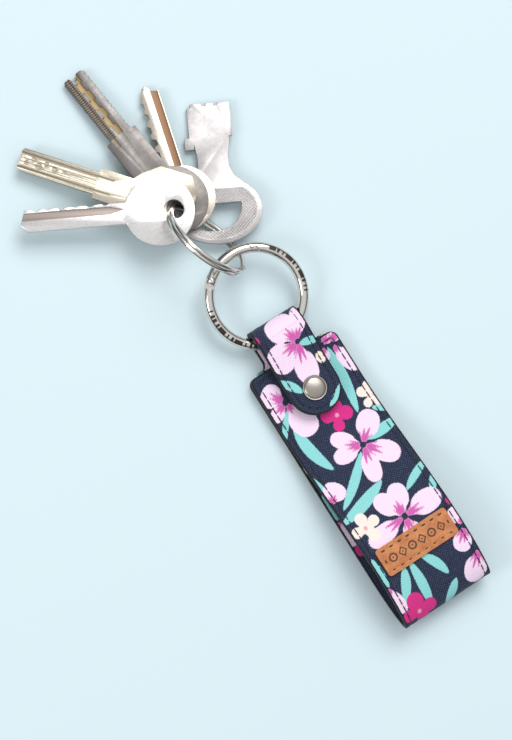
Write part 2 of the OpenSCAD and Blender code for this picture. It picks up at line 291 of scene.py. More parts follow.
@dataclass
class StrapShape:
    """Sizes of the strap, the flap and their seams, in millimetres."""

    width: float = 37.8
    neck: float = 20
    outer: float = 1.0
    inner: float = 0.9
    front_end: float = -7.5
    front_z: float = 4.0
    front_rise: float = -27.3
    crown_y: float = -92
    crown_z: float = 15.5
    nose: float = 22
    fold_y: float = 1.8
    fold_r: float = 5.0
    fold_z: float = 6.0
    flap_z: float = 8.1
    flap_low: float = -16.8
    snap_y: float = -22.3
    seam_in: float = 2.3
    corner: float = 3.0
    fillet: float = 3.5

    @staticmethod
    def _ease(t: Array) -> Array:
        """A smooth step from 0 to 1."""
        t = np.clip(t, 0, 1)
        return t * t * (3 - 2 * t)

    def front_line(self, y: Array) -> Array:
        """Height of the glue line of the front layer at each Y."""
        rise = self._ease((self.front_rise - y) / (self.front_rise - self.crown_y))
        return self.front_z + (self.crown_z - self.front_z) * rise

    def strap_path(self) -> SidePath:
        """The glue line from the front layer's end, round the nose and back, to the top of the fold."""
        front_y = np.linspace(self.front_end, self.crown_y, 160)
        turn = np.linspace(0, math.pi, 120)[1:]
        mid = (self.crown_z + self.outer) / 2
        rise = (self.crown_z - self.outer) / 2
        back_y = np.linspace(self.crown_y, self.fold_y, 60)[1:]
        fold = np.linspace(-math.pi / 2, math.pi / 2, 40)[1:]
        return SidePath(np.concatenate([
            np.stack([front_y, self.front_line(front_y)], 1),
            np.stack([self.crown_y - self.nose * np.sin(turn), mid + rise * np.cos(turn)], 1),
            np.stack([back_y, np.full_like(back_y, self.outer)], 1),
            np.stack([self.fold_y + self.fold_r * np.cos(fold), self.fold_z + self.fold_r * np.sin(fold)],
                     1)]))

    def flap_path(self) -> SidePath:
        """The glue line of the flap, from the top of the fold to its rounded end."""
        y = np.linspace(self.fold_y, self.snap_y - self.neck / 2, 90)
        drop = self._ease((y - self.flap_low) / (self.fold_y - self.flap_low))
        top = self.fold_z + self.fold_r
        return SidePath(np.stack([y, self.flap_z + (top - self.flap_z) * drop], 1))

    def strap_half(self, distance: Array) -> Array:
        """Half of the strap's width along the glue line, with its rounded shoulders and neck."""
        path = self.strap_path()
        half, neck = self.width / 2, self.neck / 2
        back = path.at(distance)[:, 0]
        front = distance < path.length / 2
        depth = np.where(front, distance, self.front_end - back)
        near = np.clip(self.corner - depth, 0, self.corner)
        wide = half - self.corner + np.sqrt(self.corner ** 2 - near ** 2)
        past = np.clip(self.fillet - (back - self.front_end), 0, self.fillet)
        narrow = neck + self.fillet - np.sqrt(self.fillet ** 2 - past ** 2)
        return np.where(front | (back < self.front_end), wide, narrow)

    def flap_half(self, distance: Array) -> Array:
        """Half of the flap's width along its glue line."""
        y = self.flap_path().at(distance)[:, 0]
        half = self.neck / 2
        past = np.clip((self.snap_y - y) / half, 0, 0.9995)
        return half * np.sqrt(1 - past ** 2)


# ---------------------------------------------------------------- the printed flowers

def _rotated(x: Array, y: Array, centre: tuple[float, float], degrees: float) -> tuple[Array, Array]:
    """Coordinates along and across a direction, from a centre."""
    c, s = math.cos(math.radians(degrees)), math.sin(math.radians(degrees))
    dx, dy = x - centre[0], y - centre[1]
    return dx * c + dy * s, dy * c - dx * s


@dataclass(frozen=True)
class Petal:
    """A petal of a printed flower, drawn from the flower's centre. Lengths in millimetres.

    Attributes:
        turn: Direction from the centre, in degrees.
        length: From the centre to the petal's end.
        width: At its widest.
        notch: How far its end parts into two lobes, in degrees to each side, 0 for a round end.
        strokes: Length of the brush strokes as a part of the petal's length, 0 for none.
    """

    turn: float
    length: float
    width: float
    notch: float = 0
    strokes: float = 0.5

    def shape(self, x: Array, y: Array, centre: tuple[float, float]) -> Array:
        """Signed distance inside the petal's outline."""
        inside = np.full_like(x, -9.0)
        for lean in ((-self.notch, self.notch) if self.notch else (0,)):
            u, v = _rotated(x, y, centre, self.turn + lean)
            wide_r = self.width / 2 * (0.66 if self.notch else 1)
            middle, long_r = 0.62 * self.length, 0.38 * self.length
            reach = (np.abs((u - middle) / long_r) ** 2.3 + np.abs(v / wide_r) ** 2.3) ** (1 / 2.3)
            wedge = np.minimum(0.1 + u * wide_r / middle * 1.02 - np.abs(v), np.minimum(u, middle - u))
            inside = np.maximum(inside, np.maximum((1 - reach) * min(long_r, wide_r), wedge))
        return inside

    def brush(self, x: Array, y: Array, centre: tuple[float, float]) -> Array:
        """Signed distance inside the brush strokes at the petal's base."""
        best = np.full_like(x, -9.0)
        if not self.strokes:
            return best
        for lean, part, thick in ((-27, 0.78, 0.62), (-9, 1.0, 0.85), (8, 0.9, 0.8), (27, 0.72, 0.6)):
            u, v = _rotated(x, y, centre, self.turn + lean)
            end = self.length * self.strokes * part
            along = np.clip(u, 1.6, end)
            best = np.maximum(best, thick * (1.3 - along / end) - np.hypot(u - along, v))
        return best


@dataclass(frozen=True)
class Flower:
    """A printed flower: its petals round a dark centre."""

    centre: tuple[float, float]
    petals: tuple[Petal, ...]
    eye: float = 1.3


@dataclass(frozen=True)
class Leaf:
    """A printed leaf between two points, with its half width and how far it bows, in millimetres."""

    start: tuple[float, float]
    end: tuple[float, float]
    half: float
    bow: float = 0

    def shape(self, x: Array, y: Array) -> Array:
        """Signed distance inside the leaf."""
        length = math.dist(self.start, self.end)
        turn = math.degrees(math.atan2(self.end[1] - self.start[1], self.end[0] - self.start[0]))
        u, v = _rotated(x, y, self.start, turn)
        t = np.clip(u / length, 0, 1)
        swell = (4 * t * (1 - t)) ** 0.65
        return np.minimum(self.half * swell - np.abs(v - self.bow * 4 * t * (1 - t)),
                          np.minimum(u, length - u) + 0.1)


@dataclass(frozen=True)
class Blossom:
    """A small flower of round lobes with a dot in its middle.

    Attributes:
        centre: Its middle.
        lobes: Direction, distance and radius of each lobe.
        dot: Radius of the dot.
    """

    centre: tuple[float, float]
    lobes: tuple[tuple[float, float, float], ...]
    dot: float = 0.8

    def shape(self, x: Array, y: Array) -> Array:
        """Signed distance inside the lobes."""
        best = np.full_like(x, -9.0)
        for turn, reach, radius in self.lobes:
            u, v = _rotated(x, y, self.centre, turn)
            best = np.maximum(best, radius - np.hypot(u - reach, v))
            stem = np.minimum(radius * 0.75 - np.abs(v), np.minimum(u, reach - u))
            best = np.maximum(best, stem)
        return best


@dataclass(frozen=True)
class Print:
    """One repeat of the printed pattern, in the cloth's own flat millimetres."""

    flowers: tuple[Flower, ...]
    leaves: tuple[Leaf, ...]
    magenta: tuple[Blossom, ...]
    cream: tuple[Blossom, ...]

    def fields(self, x: Array, y: Array) -> dict[str, Array]:
        """Works out how deep each vertex lies inside each colour of the print.

        Args:
            x: Places across the cloth.
            y: Places along the cloth.

        Returns:
            A signed distance for each colour, in millimetres, kept between -2 and 2.
        """
        low = np.full_like(x, -2.0)
        out = {name: low.copy() for name in ("leaf", "petal", "stroke", "magenta", "cream", "dot")}
        for leaf in self.leaves:
            out["leaf"] = np.maximum(out["leaf"], leaf.shape(x, y))
        for flower in self.flowers:
            away = np.hypot(x - flower.centre[0], y - flower.centre[1]) - flower.eye
            for petal in flower.petals:
                inside = petal.shape(x, y, flower.centre)
                out["petal"] = np.maximum(out["petal"], np.minimum(inside, away))
                brush = np.minimum(petal.brush(x, y, flower.centre), np.minimum(inside, away))
                out["stroke"] = np.maximum(out["stroke"], brush)
        for name, blossoms in (("magenta", self.magenta), ("cream", self.cream)):
            for blossom in blossoms:
                out[name] = np.maximum(out[name], blossom.shape(x, y))
                reach = np.hypot(x - blossom.centre[0], y - blossom.centre[1])
                out["dot"] = np.maximum(out["dot"], blossom.dot - reach)
        return {name: np.clip(values, -2, 2) for name, values in out.items()}


FRONT_PRINT = Print(
    flowers=(
        Flower((4.2, -49.4), (Petal(157, 12.2, 9.8, 21, 0.55), Petal(43, 13.8, 8.6, 0, 0.5),
                              Petal(-48, 14.2, 8.4, 0, 0.55), Petal(-104, 14.8, 6.8, 0, 0.5))),
        Flower((1.6, -79.6), (Petal(94, 12.6, 11.5, 21, 0.5), Petal(2, 16, 8.6, 0, 0.5),
                              Petal(188, 17, 7.0, 0, 0.5), Petal(-95, 11, 7.4, 0, 0.6))),
        Flower((-11.5, -21.0), (Petal(126, 9.5, 9, 0, 0.7), Petal(205, 8.5, 5, 0, 0.6),
                                Petal(-78, 15.5, 10, 0, 0.3))),
        Flower((11.5, -10.3),
               (Petal(150, 5, 5, 0, 0.7), Petal(-110, 6.5, 5, 0, 0.7), Petal(20, 6, 4, 0, 0.8))),
        Flower((15.0, -11.8), (Petal(40, 6, 5, 0, 0.9), Petal(-72, 13.5, 6.5, 0, 0.3))),
        Flower((-19.0, -62.0), (Petal(40, 9, 8.5, 0, 0.5),)),
        Flower((18.5, -94.0), (Petal(98, 8, 6, 0, 0.4), Petal(-130, 9.5, 7, 0, 0.7))),
        Flower((19.0, -103.5), (Petal(232, 13, 9, 0, 0.6),)),
        Flower((-18.5, -97.0), (Petal(-82, 12, 5, 0, 0.3),)),
    ),
    leaves=(
        Leaf((-13.5, -29.5), (-10.2, -51.5), 2.3, -1.6),
        Leaf((-19.5, -33.5), (-11.5, -23.5), 1.2, 0.6),
        Leaf((13.2, -12.0), (9.6, -38.5), 1.9, 0.9),
        Leaf((13.8, -15.0), (9.5, -22.0), 1.1, -0.3),
        Leaf((6.8, -48.6), (21, -47.6), 2.1, -0.2),
        Leaf((2.2, -51.2), (-16, -66.0), 1.8, 0.8),
        Leaf((2.2, -64.2), (-19.5, -70.4), 2.3, 0.6),
        Leaf((7.8, -72.2), (21, -66.2), 1.5, 0.4),
        Leaf((15.0, -39.5), (21, -43.5), 1.4, 0.2),
        Leaf((15.2, -78.5), (20.5, -71.5), 1.4, 0.3),
        Leaf((-17.6, -98), (-17.6, -86), 1.3, 0),
        Leaf((-9.0, -94.5), (-15.2, -106), 1.9, 0.4),
        Leaf((-6.2, -94), (-7.0, -112.5), 1.9, 0.4),
        Leaf((-1.5, -94), (4.4, -105.5), 1.8, 0.8),
        Leaf((-1.5, -116), (6.0, -108.5), 1.8, 0),
        Leaf((-19, -49), (-17, -60), 1.0, 0),
    ),
    magenta=(
        Blossom((2.4, -35.0), ((155, 3.6, 2.6), (-15, 3.5, 2.7), (-112, 4.0, 2.2), (65, 3.5, 2.4))),
        Blossom((-12.0, -111.5), ((88, 4.2, 3.3), (0, 4.6, 2.7), (175, 4.2, 2.4), (-80, 4.0, 2.8))),
        Blossom((19.0, -83.5), ((0, 0.1, 1.6),), 0.5),
    ),
    cream=(
        Blossom((-13.0, -75.7), ((85, 3.6, 2.3), (12, 4.2, 2.1), (-68, 3.8, 2.4), (178, 3.6, 2.1)), 0.8),
        Blossom((18.6, -35.6), ((140, 4.6, 2.0), (95, 4.0, 1.8), (205, 4.2, 1.7), (-90, 3.0, 1.7)), 0.7),
    ),
)

TAB_PRINT = Print(
    flowers=(
        Flower((3.4, -4.4), (Petal(112, 12.8, 11.5, 0, 0.5), Petal(197, 14.0, 11, 0, 0.52),
                             Petal(-101, 16.2, 8.8, 0, 0.5), Petal(57, 13, 5.5, 0, 0.4)), 1.1),
        Flower((-13.5, -9), (Petal(60, 2.5, 2, 0, 0),)),
    ),
    leaves=(
        Leaf((3.4, -5.6), (11.5, -7.6), 1.5, 0.2),
        Leaf((-11.0, -13.2), (-4.6, -21.5), 1.7, 0.5),
        Leaf((1.2, -31.0), (10.5, -25.5), 1.3, -0.5),
    ),
    magenta=(Blossom((-10.6, 3.2), ((0, 0.1, 1.7),), 0.4),),
    cream=(Blossom((8.0, -13.8), ((90, 0.9, 1.4), (-90, 0.9, 1.4), (180, 0.4, 1.4)), 0.0),),
)


# ---------------------------------------------------------------- finishes

class MetalTone(Enum):
    """Colours of the metals on the keychain."""

    NICKEL = "#E2DDD6"
    STEEL = "#C4C4C2"
    SATIN = "#A8A198"
    BRIGHT = "#E6E3E0"
    SILVER = "#C6BDAC"
    DARK = "#7C7875"
    PALE = "#BDB4A8"
    MATT = "#B9B5B4"


@dataclass(frozen=True)
class PrintedCanvas:
    """Polyester canvas, plain weave, printed by transfer: matt, with small ribs that catch the light.

    Attributes:
        name: The material's name.
        ground: Colour between the flowers.
        thread_mm: Length of one weave repeat, drawn coarser than the real 0.8 mm so that it shows.
    """

    name: str
    ground: str = "#1C2541"
    thread_mm: float = 1.15

    def build(self) -> bpy.types.Material:
        """Makes the material. It reads the print's signed distances from the cloth's attributes."""
        material = bpy.data.materials.new(self.name)
        material.use_nodes = True
        tree = material.node_tree
        shader = tree.nodes["Principled BSDF"]
        cloth = add_node(tree, "Attribute", {"attribute_name": "cloth"}).outputs["Vector"]
        split = add_node(tree, "SeparateXYZ", None, {0: cloth})
        waves = []
        for axis in ("X", "Y"):
            turn = calc(tree, "MULTIPLY", split.outputs[axis], math.tau / self.thread_mm)
            waves.append(calc(tree, "SINE", turn))
        weave = calc(tree, "MULTIPLY", waves[0], waves[1])
        slub = add_node(tree, "TexNoise", None,
                        {"Vector": cloth, "Scale": 0.9, "Detail": 4.0, "Roughness": 0.6})
        colour = self._cloth_tone(tree, weave, slub.outputs["Fac"])
        wobble = add_node(tree, "TexNoise", None, {"Vector": cloth, "Scale": 2.6, "Detail": 2.0})
        shift = remap(tree, wobble.outputs["Fac"], 0.3, 0.7, -0.16, 0.16)
        for name, ink, soft in (("leaf", "#93DDDC", 0.12), ("petal", "#FFE4FB", 0.12),
                                ("stroke", "#D963B4", 0.2),
                                ("magenta", "#DE2E8A", 0.12), ("cream", "#FFF0E6", 0.12), ("dot", "#F0A8B8",
                                                                                           0.25)):
            colour = self._ink(tree, colour, name, ink, soft, shift, weave)
        colour = self._painted_edge(tree, colour)
        tree.links.new(colour, shader.inputs["Base Color"])
        shader.inputs["Roughness"].default_value = 0.82
        shader.inputs["Specular IOR Level"].default_value = 0.35
        shader.inputs["Sheen Weight"].default_value = 0.12
        shader.inputs["Sheen Roughness"].default_value = 0.5
        height = calc(tree, "MULTIPLY_ADD", weave, 0.5, slub.outputs["Fac"])
        bump = add_node(tree, "Bump", None, {"Strength": 0.7, "Distance": 0.00016, "Height": height})
        tree.links.new(bump.outputs[0], shader.inputs["Normal"])
        return material

    def _cloth_tone(self, tree: bpy.types.NodeTree, weave: bpy.types.NodeSocket,
                    slub: bpy.types.NodeSocket) -> bpy.types.NodeSocket:
        """Mixes the ground colour with a paler tone where its threads stand up, a painted highlight, and with
        random darker patches.
        """
        place = add_node(tree, "TexCoord").outputs["Object"]
        speck = add_node(tree, "TexNoise", None, {"Vector": place, "Scale": 1900.0, "Detail": 2.0})
        # Painted highlight: where the weave is high, the navy ground is mixed toward a pale blue-grey.
        lift = calc(tree, "MULTIPLY_ADD", weave, 0.35, speck.outputs["Fac"])
        painted_highlight = remap(tree, lift, 0.45, 0.95, 0.0, 0.5)
        ground = mix_colour(tree, painted_highlight, linear(self.ground), linear("#5F7088"))
        patch = remap(tree, slub, 0.35, 0.7, 0.0, 0.35)
        return mix_colour(tree, patch, ground, linear("#1A2038"))

    def _ink(self, tree: bpy.types.NodeTree, below: bpy.types.NodeSocket, name: str, ink: str, soft: float,
             shift: bpy.types.NodeSocket, weave: bpy.types.NodeSocket) -> bpy.types.NodeSocket:
        """Lays one printed colour over the colours below it, darkened in the weave's hollows as painted shade."""
        depth = add_node(tree, "Attribute", {"attribute_name": name}).outputs["Fac"]
        moved = calc(tree, "ADD", depth, shift)
        cover = remap(tree, moved, -soft, soft, 0.0, 1.0)
        # Painted shade: the ink is darkened by up to a tenth where the weave lies low.
        thread = remap(tree, weave, -1.0, 0.2, 0.9, 1.0)
        tone = add_node(tree, "Mix", {"data_type": "RGBA", "blend_type": "MULTIPLY"},
                        {0: 1.0, 6: linear(ink), 7: thread})
        return mix_colour(tree, cover, below, tone.outputs[2])

    @staticmethod
    def _painted_edge(tree: bpy.types.NodeTree, below: bpy.types.NodeSocket) -> bpy.types.NodeSocket:
        """Paints the cut edge and the margin next to it black."""
        edge = add_node(tree, "Attribute", {"attribute_name": "edge"}).outputs["Fac"]
        place = add_node(tree, "TexCoord").outputs["Object"]
        noise = add_node(tree, "TexNoise", None, {"Vector": place, "Scale": 900.0, "Detail": 3.0})
        rough = calc(tree, "MULTIPLY_ADD", noise.outputs["Fac"], 0.35, edge)
        cover = remap(tree, rough, 0.62, 0.85, 1.0, 0.0)
        return mix_colour(tree, cover, below, linear("#17181D"))


@dataclass(frozen=True)
class Thread:
    """Bonded polyester sewing thread: a tight twist with a faint gloss."""

    name: str
    colour: str
    worn: str = "#26262A"
    twist_mm: float = 0.35

    def build(self) -> bpy.types.Material:
        """Makes the material, with the twist as slanting bands."""
        material = bpy.data.materials.new(self.name)
        material.use_nodes = True
        tree = material.node_tree
        shader = tree.nodes["Principled BSDF"]
        place = add_node(tree, "TexCoord").outputs["Object"]
        twist = add_node(tree, "TexWave", {"bands_direction": "DIAGONAL"},
                         {"Vector": place, "Scale": 0.3 / (self.twist_mm * MM), "Distortion": 1.5})
        fuzz = add_node(tree, "TexNoise", None, {"Vector": place, "Scale": 1800.0, "Detail": 3.0})
        tone = mix_colour(tree, fuzz.outputs["Fac"], linear(self.colour), linear(self.worn))
        tree.links.new(tone, shader.inputs["Base Color"])
        shader.inputs["Roughness"].default_value = 0.5
        bump = add_node(tree, "Bump", None,
                        {"Strength": 0.7, "Distance": 0.00006, "Height": twist.outputs["Fac"]})
        tree.links.new(bump.outputs[0], shader.inputs["Normal"])
        return material


@dataclass(frozen=True)
class TanLeather:
    """Vegetable-tanned leather: pebbled grain about 0.6 mm wide, darker pores, marks burnt in dark brown."""

    name: str = "vegetable_tanned_leather"
    colour: str = "#C4743D"

    def build(self) -> bpy.types.Material:
        """Makes the material. The attribute "mark" gives the depth inside the pressed marks."""
        material = bpy.data.materials.new(self.name)
        material.use_nodes = True
        tree = material.node_tree
        shader = tree.nodes["Principled BSDF"]
        place = add_node(tree, "TexCoord").outputs["Object"]
        grain = add_node(tree, "TexVoronoi", {"feature": "SMOOTH_F1"}, {"Vector": place, "Scale": 1500.0})
        tone = add_node(tree, "TexNoise", None,
                        {"Vector": place, "Scale": 330.0, "Detail": 6.0, "Roughness": 0.62})
        pores = add_node(tree, "TexNoise", None, {"Vector": place, "Scale": 1400.0, "Detail": 3.0})
        spread = add_node(tree, "MapRange", None, {0: tone.outputs["Fac"], 1: 0.35, 2: 0.68})
        base = mix_colour(tree, spread.outputs[0], linear("#B96E3C"), linear("#D48C58"))
        dark = remap(tree, pores.outputs["Fac"], 0.58, 0.75, 0.0, 0.6)
        base = mix_colour(tree, dark, base, linear("#96552C"))
        mark = add_node(tree, "Attribute", {"attribute_name": "mark"}).outputs["Fac"]
        burnt = remap(tree, mark, -0.12, 0.12, 0.0, 0.92)
        base = mix_colour(tree, burnt, base, linear("#3B2417"))
        tree.links.new(base, shader.inputs["Base Color"])
        shader.inputs["Roughness"].default_value = 0.6
        height = calc(tree, "ADD", grain.outputs["Distance"], tone.outputs["Fac"])
        bump = add_node(tree, "Bump", None, {"Strength": 0.5, "Distance": 0.0002, "Height": height})
        tree.links.new(bump.outputs[0], shader.inputs["Normal"])
        return material


@dataclass(frozen=True)
class Metal:
    """Plated or plain metal with fine handling marks.

    Attributes:
        name: The material's name.
        tone: Its colour.
        roughness: Typical value: 0.15 polished plate, 0.3 satin, 0.45 tumbled.
        scratch: How much the fine scratches vary its roughness.
    """

    name: str
    tone: MetalTone
    roughness: float = 0.2
    scratch: float = 0.15

    def start(self) -> tuple[bpy.types.Material, bpy.types.NodeTree, bpy.types.NodeSocket,
                             bpy.types.NodeSocket]:
        """Makes the common part: worn colour and scratched roughness.

        Returns:
            The material, its tree, the colour and the roughness so far.
        """
        material = bpy.data.materials.new(self.name)
        material.use_nodes = True
        tree = material.node_tree
        shader = tree.nodes["Principled BSDF"]
        shader.inputs["Metallic"].default_value = 1.0
        place = add_node(tree, "TexCoord").outputs["Object"]
        smear = add_node(tree, "TexNoise", None,
                         {"Vector": place, "Scale": 160.0, "Detail": 5.0, "Roughness": 0.65})
        stretch = add_node(tree, "Mapping", None, {"Vector": place, "Rotation": (0.3, 0.2, 0.9),
                                                   "Scale": (300.0, 5200.0, 2600.0)})
        lines = add_node(tree, "TexNoise", None, {"Vector": stretch.outputs[0], "Scale": 1.0, "Detail": 3.0})
        wear = remap(tree, smear.outputs["Fac"], 0.35, 0.7, 0.0, 0.35)
        dull = tuple(c * 0.62 for c in linear(self.tone.value)[:3]) + (1.0,)
        colour = mix_colour(tree, wear, linear(self.tone.value), dull)
        both = calc(tree, "ADD", smear.outputs["Fac"], lines.outputs["Fac"])
        rough = remap(tree, both, 0.7, 1.3, max(self.roughness - self.scratch / 2, 0.04),
                      self.roughness + self.scratch / 2)
        bump = add_node(tree, "Bump", None,
                        {"Strength": 0.18, "Distance": 0.00002, "Height": lines.outputs["Fac"]})
        tree.links.new(bump.outputs[0], shader.inputs["Normal"])
        return material, tree, colour, rough

    def build(self) -> bpy.types.Material:
        """Makes the plain metal."""
        material, tree, colour, rough = self.start()
        shader = tree.nodes["Principled BSDF"]
        tree.links.new(colour, shader.inputs["Base Color"])
        tree.links.new(rough, shader.inputs["Roughness"])
        return material


@dataclass(frozen=True)
class EngravedMetal(Metal):
    """Polished nickel plate with two bands of short engraved ticks, filled dark.

    Attributes:
        centre: The ring's centre, in metres.
        tilt: How far the ring's plane leans, in degrees.
        radius_mm: Radius of the wire's centre line.
        bands: First and last angle of each band, in degrees.
    """

    centre: tuple[float, float, float] = (0, 0, 0)
    tilt: float = 9
    radius_mm: float = 18
    bands: tuple[tuple[float, float], ...] = ((-25, 45), (165, 240))

    def build(self) -> bpy.types.Material:
        """Makes the metal, with the ticks laid out by angle round the ring."""
        material, tree, colour, rough = self.start()
        shader = tree.nodes["Principled BSDF"]
        place = add_node(tree, "TexCoord").outputs["Object"]
        local = add_node(tree, "Mapping", {"vector_type": "TEXTURE"},
                         {"Vector": place, "Location": self.centre,
                          "Rotation": (math.radians(self.tilt), 0, 0)})
        part = add_node(tree, "SeparateXYZ", None, {0: local.outputs[0]})
        angle = calc(tree, "ARCTAN2", part.outputs["Y"], part.outputs["X"])
        flat = add_node(tree, "CombineXYZ", None, {"X": part.outputs["X"], "Y": part.outputs["Y"]})
        radius = add_node(tree, "VectorMath", {"operation": "LENGTH"}, {0: flat.outputs[0]})
        mask = None
        for first, last in self.bands:
            middle = math.radians((first + last) / 2)
            off = calc(tree, "SUBTRACT", angle, middle)
            wrapped = calc(tree, "WRAP", off, math.pi, -math.pi)
            near = calc(tree, "ABSOLUTE", wrapped)
            inside = calc(tree, "LESS_THAN", near, math.radians((last - first) / 2))
            mask = inside if mask is None else calc(tree, "MAXIMUM", mask, inside)
        offset = calc(tree, "SUBTRACT", radius.outputs["Value"], (self.radius_mm + 0.55) * MM)
        across = calc(tree, "ABSOLUTE", offset)
        belt = calc(tree, "LESS_THAN", across, 0.8 * MM)
        ticks = calc(tree, "MULTIPLY", angle, 62.0)
        wave = calc(tree, "SINE", ticks)
        slow = calc(tree, "MULTIPLY", angle, 15.5)
        group = calc(tree, "SINE", slow)
        both = calc(tree, "ADD", wave, group)
        cut = calc(tree, "LESS_THAN", both, 0.35)
        shape = calc(tree, "MULTIPLY", cut, belt)
        shape = calc(tree, "MULTIPLY", shape, mask)
        tone = mix_colour(tree, shape, colour, linear("#4A4540"))
        dull = add_node(tree, "Mix", {"data_type": "FLOAT"}, {0: shape, 2: rough, 3: 0.55})
        tree.links.new(tone, shader.inputs["Base Color"])
        tree.links.new(dull.outputs[0], shader.inputs["Roughness"])
        return material


@dataclass(frozen=True)
class KeyMetal(Metal):
    """Cut key metal: tumbled faces, darker floors in the grooves, fine cutter lines along the blade.

    Attributes:
        floor: Colour of the grooves' floors.
        normal: The key's plane normal.
        blade_from: Distance from the turning axis where the cutter lines start, in millimetres.
        blade_until: Where they end, in millimetres.
        line_mm: Spacing of the cutter lines.
        knurl: Whether the bow has a knurled band.
    """

    floor: str = "#9C7A50"
    normal: tuple[float, float, float] = (0, 0, 1)
    blade_from: float = 20
    blade_until: float = 70
    line_mm: float = 0.8
    rack: bool = False
    knurl: bool = False
    speckle: float = 0.0

    def build(self) -> bpy.types.Material:
        """Makes the material. The attribute "key" gives places in the key's own millimetres."""
        material, tree, colour, rough = self.start()
        shader = tree.nodes["Principled BSDF"]
        key = add_node(tree, "Attribute", {"attribute_name": "key"}).outputs["Vector"]
        part = add_node(tree, "SeparateXYZ", None, {0: key})
        facing = add_node(tree, "VectorMath", {"operation": "DOT_PRODUCT"},
                          {0: add_node(tree, "TexCoord").outputs["Normal"], 1: self.normal})
        level = calc(tree, "ABSOLUTE", facing.outputs["Value"])
        flat = calc(tree, "GREATER_THAN", level, 0.7)
        depth = calc(tree, "ABSOLUTE", part.outputs["Z"])
        low = calc(tree, "LESS_THAN", depth, 0.72)
        groove = calc(tree, "MULTIPLY", flat, low)
        height = self._cutter_lines(tree, part)
        if self.knurl:
            height = self._knurled_band(tree, part, height)
        patina = add_node(tree, "TexNoise", None,
                          {"Vector": key, "Scale": 0.9, "Detail": 6.0, "Roughness": 0.7})
        stain = remap(tree, patina.outputs["Fac"], 0.5, 0.72, 0.0, 0.25 + self.speckle)
        colour = mix_colour(tree, stain, colour, linear("#6B6259"))
        tone = mix_colour(tree, groove, colour, linear(self.floor))
        tree.links.new(tone, shader.inputs["Base Color"])
        matt = add_node(tree, "Mix", {"data_type": "FLOAT"}, {0: groove, 2: rough, 3: 0.5})
        tree.links.new(matt.outputs[0], shader.inputs["Roughness"])
        bump = shader.inputs["Normal"].links[0].from_node
        lines = add_node(tree, "Bump", None, {"Strength": 0.6, "Distance": 0.00012, "Height": height,
                                              "Normal": bump.outputs[0]})
        tree.links.new(lines.outputs[0], shader.inputs["Normal"])
        return material

    def _cutter_lines(self, tree: bpy.types.NodeTree, part: bpy.types.Node) -> bpy.types.NodeSocket:
        """Fine lines left by the cutter, along the blade or across it."""
        source = part.outputs["X" if self.rack else "Y"]
        turn = calc(tree, "MULTIPLY", source, math.tau / self.line_mm)
        wave = calc(tree, "SINE", turn)
        first = calc(tree, "GREATER_THAN", part.outputs["X"], self.blade_from)
        last = calc(tree, "LESS_THAN", part.outputs["X"], self.blade_until)
        blade = calc(tree, "MULTIPLY", first, last)
        if self.rack:
            side = calc(tree, "GREATER_THAN", part.outputs["Y"], 1.7)
            blade = calc(tree, "MULTIPLY", blade, side)
        return calc(tree, "MULTIPLY", wave, blade)

    @staticmethod
    def _knurled_band(tree: bpy.types.NodeTree, part: bpy.types.Node,
                      below: bpy.types.NodeSocket) -> bpy.types.NodeSocket:
        """Diamond knurling 0.9 mm apart, inside a smooth rim round the bow."""
        waves = []
        for operation in ("ADD", "SUBTRACT"):
            slant = calc(tree, operation, part.outputs["X"], part.outputs["Y"])
            turn = calc(tree, "MULTIPLY", slant, math.tau / 1.25)
            waves.append(calc(tree, "SINE", turn))
        diamond = calc(tree, "MAXIMUM", waves[0], waves[1])
        x = calc(tree, "MULTIPLY_ADD", part.outputs["X"], 1 / 12.7, -1 / 12.7)
        y = calc(tree, "MULTIPLY_ADD", part.outputs["Y"], 1 / 16.7, 9 / 16.7)
        reach = add_node(tree, "CombineXYZ", None, {"X": x, "Y": y})
        rim = add_node(tree, "VectorMath", {"operation": "LENGTH"}, {0: reach.outputs[0]})
        inside = remap(tree, rim.outputs["Value"], 0.86, 0.9, 1.0, 0.0)
        carved = calc(tree, "MULTIPLY", diamond, inside)
        raised = remap(tree, rim.outputs["Value"], 0.84, 0.9, 0.0, 1.6)
        bow = calc(tree, "LESS_THAN", part.outputs["X"], 9.0)
        both = calc(tree, "ADD", carved, raised)
        band = calc(tree, "MULTIPLY", both, bow)
        return calc(tree, "ADD", band, below)


# ---------------------------------------------------------------- strap and flap

